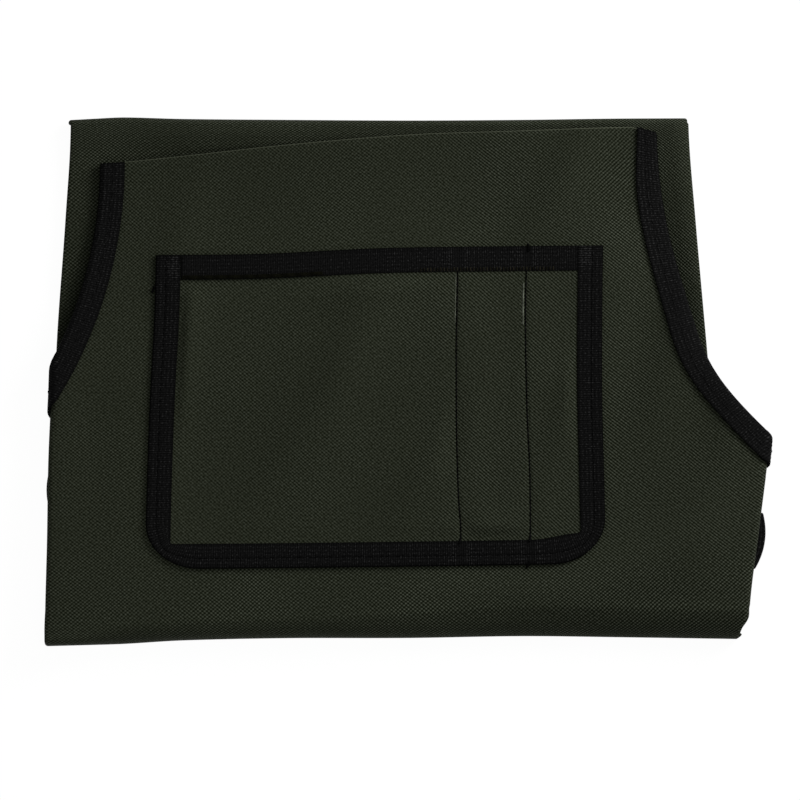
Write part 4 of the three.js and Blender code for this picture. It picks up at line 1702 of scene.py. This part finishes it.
@dataclass(frozen=True)
class SlotSeams:
    """Sewn lines that divide the pen slots.

    Black stitches are sunk in the pocket cloth. They end in knots and short tails at the tapes. On the left of the
    lines' upper parts a paler thread shows.
    """

    pocket: ChestPocket
    wander: float = 0.1 * MM
    wander_turns: float = 9.0
    wander_shift: float = 40.0
    pale_stand: float = 0.2
    end_steps: int = 5

    def on_cloth(self, slot: int, down: Array, aside: float, lift: float) -> Array:
        """Points along one line: shares of the way down the pocket, moved left, over the cloth's upper face."""
        wander = self.wander * np.sin(self.wander_turns * down + self.wander_shift * slot)
        x = slot_curves[slot](down) + wander - aside
        return self.pocket.over(x, down, np.full(x.shape, POCKET_CLOTH / 2 + lift))

    def shares(self, start: float, end: float, spacing: float) -> Array:
        """Shares of the way down the pocket between two distances from its top, at an even spacing."""
        height = float(pocket_top(SLOT_X.mean()) - pocket_bottom(SLOT_X.mean()))
        return np.arange(start, end, spacing) / height

    def stitches(self, stitching: Stitching) -> list[Array]:
        """Rows of black stitches from tape to tape."""
        height = float(pocket_top(SLOT_X.mean()) - pocket_bottom(SLOT_X.mean()))
        down = self.shares(TAPE_WIDTH, height - TAPE_WIDTH, stitching.spacing)
        return [self.on_cloth(slot, down, 0.0, THREAD_STAND * stitching.radius) for slot in range(len(SLOT_X))]

    def pale_stitches(self, slot: int, spacing: float) -> list[Array]:
        """Row of pale thread beside the upper part of one line.

        Args:
            slot: number of the line.
            spacing: distance from stitch to stitch.

        Returns:
            The one row.
        """
        start, end, aside, radius = PALE_RUNS[slot]
        top = float(pocket_top(SLOT_X.mean()))
        down = self.shares(top - start, top - end, spacing)
        return [self.on_cloth(slot, down, aside, self.pale_stand * radius)]

    def ends(self) -> list[Array]:
        """Knots and tails: short rows of overlapping spindles from start to end.

        Returns:
            A row for each of them.
        """
        share = np.linspace(0, 1, self.end_steps)[:, None]
        rows = [start + (end - start) * share for start, end in THREAD_ENDS.reshape(-1, 2, 3)]
        for row in rows:
            row[:, 2] += self.pocket.shape.height(row[:, 0], row[:, 1])
        return rows


@dataclass(frozen=True)
class SoftLight:
    """A round soft light that camera rays don't see. It hangs over what it lights, unless it has an aim."""

    name: str
    place: tuple[float, float, float]
    size: float
    power: float
    aim: tuple[float, float, float] | None = None

    def build(self) -> None:
        """Hangs the light."""
        lamp = bpy.data.lights.new(self.name, "AREA")
        lamp.shape = "DISK"
        lamp.size = self.size
        lamp.energy = self.power
        light = bpy.data.objects.new(self.name, lamp)
        light.location = self.place
        way = Vector(self.aim or (*self.place[:2], 0)) - Vector(self.place)
        light.rotation_euler = way.to_track_quat("-Z", "Y").to_euler()
        light.visible_camera = False
        bpy.context.scene.collection.objects.link(light)


@dataclass(frozen=True)
class Studio:
    """Pale floor, soft light from the upper right with white all round, and a camera straight above.

    The key light is at the upper right, and weak ones hang over the bottom edge and over the bib.
    """

    floor_size: float = 6.0
    floor_colour: str = "#404040"
    floor_glow: float = 0.965
    floor_gap: float = 0.1 * MM
    floor_roughness: float = 0.9
    floor_specular: float = 0.1
    lights: tuple[SoftLight, ...] = (
        SoftLight("soft_key", (0.76, 0.60, 0.58), 0.6, 12.6, aim=(0, 0, 0)),
        SoftLight("soft_fill", (-0.12, -0.10, 0.25), 0.12, 0.125),
        SoftLight("soft_top", (0.06, 0.07, 0.32), 0.14, 0.085),
    )
    white: str = "#ffffff"
    sky_strength: float = 0.24
    frame_width: float = 352 * MM
    frame_middle: tuple[float, float] = (-3.74 * MM, -7.92 * MM)
    frame_height: float = 10 * MM
    camera_height: float = 5.0
    sensor: float = 36.0

    def build_floor(self) -> None:
        """Lays a flat floor just under the apron: an opal panel, lit from below, so that shadows on it stay faint.

        From below the panel is clear, so the apron's underside can be seen.
        """
        bench = Bench("opal_panel")
        behind = add_node(bench.tree, "NewGeometry").outputs["Backfacing"]
        clear = add_node(bench.tree, "BsdfTransparent").outputs[0]
        panel = add_node(bench.tree, "MixShader", inputs={0: behind, 1: bench.shader.outputs[0], 2: clear})
        feed(bench.tree, bench.tree.nodes["Material Output"], {"Surface": panel.outputs[0]})
        feed(bench.tree, bench.shader, {"Emission Color": linear(self.white), "Emission Strength": self.floor_glow})
        opal = bench.coat(linear(self.floor_colour), self.floor_roughness, self.floor_specular)
        half = self.floor_size / 2
        corners = [(x * half, y * half, -self.floor_gap) for x, y in ((-1, -1), (1, -1), (1, 1), (-1, 1))]
        new_piece("floor", corners, [(0, 1, 2, 3)], opal)

    def build_light(self) -> None:
        """Hangs the soft lights in a white room."""
        for light in self.lights:
            light.build()
        world = bpy.data.worlds.new("white_room")
        world.use_nodes = True
        sky = {"Color": linear(self.white), "Strength": self.sky_strength}
        feed(world.node_tree, world.node_tree.nodes["Background"], sky)
        bpy.context.scene.world = world
        bpy.context.scene.view_settings.view_transform = "Standard"

    def build_camera(self) -> None:
        """Hangs the camera straight above, with a long lens, so that the frame is as wide as the photograph's."""
        lens = bpy.data.cameras.new("camera")
        lens.sensor_width = self.sensor
        lens.lens = self.sensor * (self.camera_height - self.frame_height) / self.frame_width
        lens.clip_end = 4 * self.camera_height
        camera = bpy.data.objects.new("camera", lens)
        camera.location = (*self.frame_middle, self.camera_height)
        bpy.context.scene.collection.objects.link(camera)
        bpy.context.scene.camera = camera


def main() -> None:
    """Builds the apron's pieces in order, from the camera to the last stitch."""
    logging.basicConfig(level=logging.INFO, format="%(name)s: %(message)s")
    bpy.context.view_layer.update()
    studio = Studio()
    studio.build_camera()
    studio.build_floor()
    studio.build_light()

    cloth = OxfordCloth().build()
    tape = RibbedTape("woven_tape").build()
    soft_tape = RibbedTape("soft_woven_tape", ground="#050505", crest="#181818", fleck="#303030").build()
    webbing = RibbedTape("webbing", crest="#1c1c1c", rib_spacing=1.6 * MM, column_spacing=2.6 * MM).build()
    thread = SewingThread().build()
    grey_thread = SewingThread("grey_sewing_thread", "#0c0c0c", "#1b1b1b").build()
    # Dark olive for the left band on the mouth tape's lower edge: painted shadow
    shadow_strip_thread = SewingThread("painted_mouth_shadow", "#080804", "#0f0f08").build()
    brown_thread = SewingThread("brown_sewing_thread", "#100f09", "#211f17").build()
    pale_thread = SewingThread("pale_sewing_thread", "#45483f", "#62665b").build()

    fold = ClothFold()
    shape = PocketShape(fold)
    pocket = ChestPocket(shape)
    armholes = [
        ArmholeTape(
            name=f"armhole_tape_{side.name.lower()}", node=f"armhole_binding_{side.name.lower()}",
            section=TapeSection(5 * MM, pinch=0.05 * MM), fold=fold, side=side,
            end_corner=corner, end_slant=slant, end_taper=taper, worn=worn,
        )
        for side, corner, slant, taper, worn in (
            (Side.LEFT, 0.8 * MM, 0.0, 0.0, 0.15),
            (Side.RIGHT, 2 * MM, 2.4 * MM, 0.24, 0.2),
        )
    ]
    mouth = PocketMouthTape(
        name="pocket_mouth_tape", node="pocket_top_binding",
        section=TapeSection(1.1 * MM, POCKET_TAPE, POCKET_REACH), shape=shape,
    )
    edge = PocketEdgeTape(
        name="pocket_edge_tape", node="pocket_edge_binding",
        section=TapeSection(6.4 * MM, POCKET_TAPE, POCKET_REACH), shape=shape, end_wear=0.7,
    )
    straps = [
        WaistStrap(Side.LEFT, (-159.4 * MM, -47.6 * MM), 0.0, 86 * MM),
        WaistStrap(Side.RIGHT, (156.9 * MM, -70.4 * MM), math.radians(8.3), 82 * MM),
    ]
    pieces = [ApronBody(fold).build(cloth), pocket.build(cloth)]
    pieces += [binding.build(soft_tape, "apron_cloth") for binding in armholes]
    pieces += [binding.build(tape, "pocket_cloth") for binding in (mouth, edge)]
    pieces += [strap.build(webbing) for strap in straps]

    lines = SlotSeams(pocket)
    slots = Stitching()
    seams = Stitching(radius=0.17 * MM, spacing=2.4 * MM, length=2.3 * MM)
    whipped_and_shadow = Stitching(radius=0.3 * MM, length=1.9 * MM, crosswise=True)
    knots = Stitching(radius=0.5 * MM, length=1.5 * MM)
    pieces.append(slots.build("slot_stitches", lines.stitches(slots), thread))
    for slot, radius in enumerate(PALE_RUNS[:, 3]):
        pale = Stitching(radius, spacing=2.2 * MM, length=2.9 * MM)
        pieces.append(pale.build(f"pale_stitches_{slot}", lines.pale_stitches(slot, pale.spacing), pale_thread))
    pieces.append(knots.build("thread_ends", lines.ends(), thread))
    for name, sewn, finish in (("tape", [edge], thread), ("armhole", armholes, grey_thread)):
        rows = [binding.sewn_line(seams.spacing, seams.radius) for binding in sewn]
        pieces.append(seams.build(f"{name}_stitches", rows, finish))
    # The left run is a close band of spindles that paints the mouth tape's shadow; the right run is whipped stitches
    for name, (start, end, spacing), finish in zip(("left", "right"), WHIPPED_AND_SHADOW, (shadow_strip_thread, brown_thread)):
        row = mouth.sewn_line(spacing, whipped_and_shadow.radius)
        row = row[(row[:, 0] > start) & (row[:, 0] < end)]
        pieces.append(whipped_and_shadow.build(f"mouth_stitches_and_shadow_{name}", [row], finish))
    for piece in pieces:
        LOG.info("%s: %d faces", piece.name, len(piece.data.polygons))


if __name__ == "__main__":
    main()
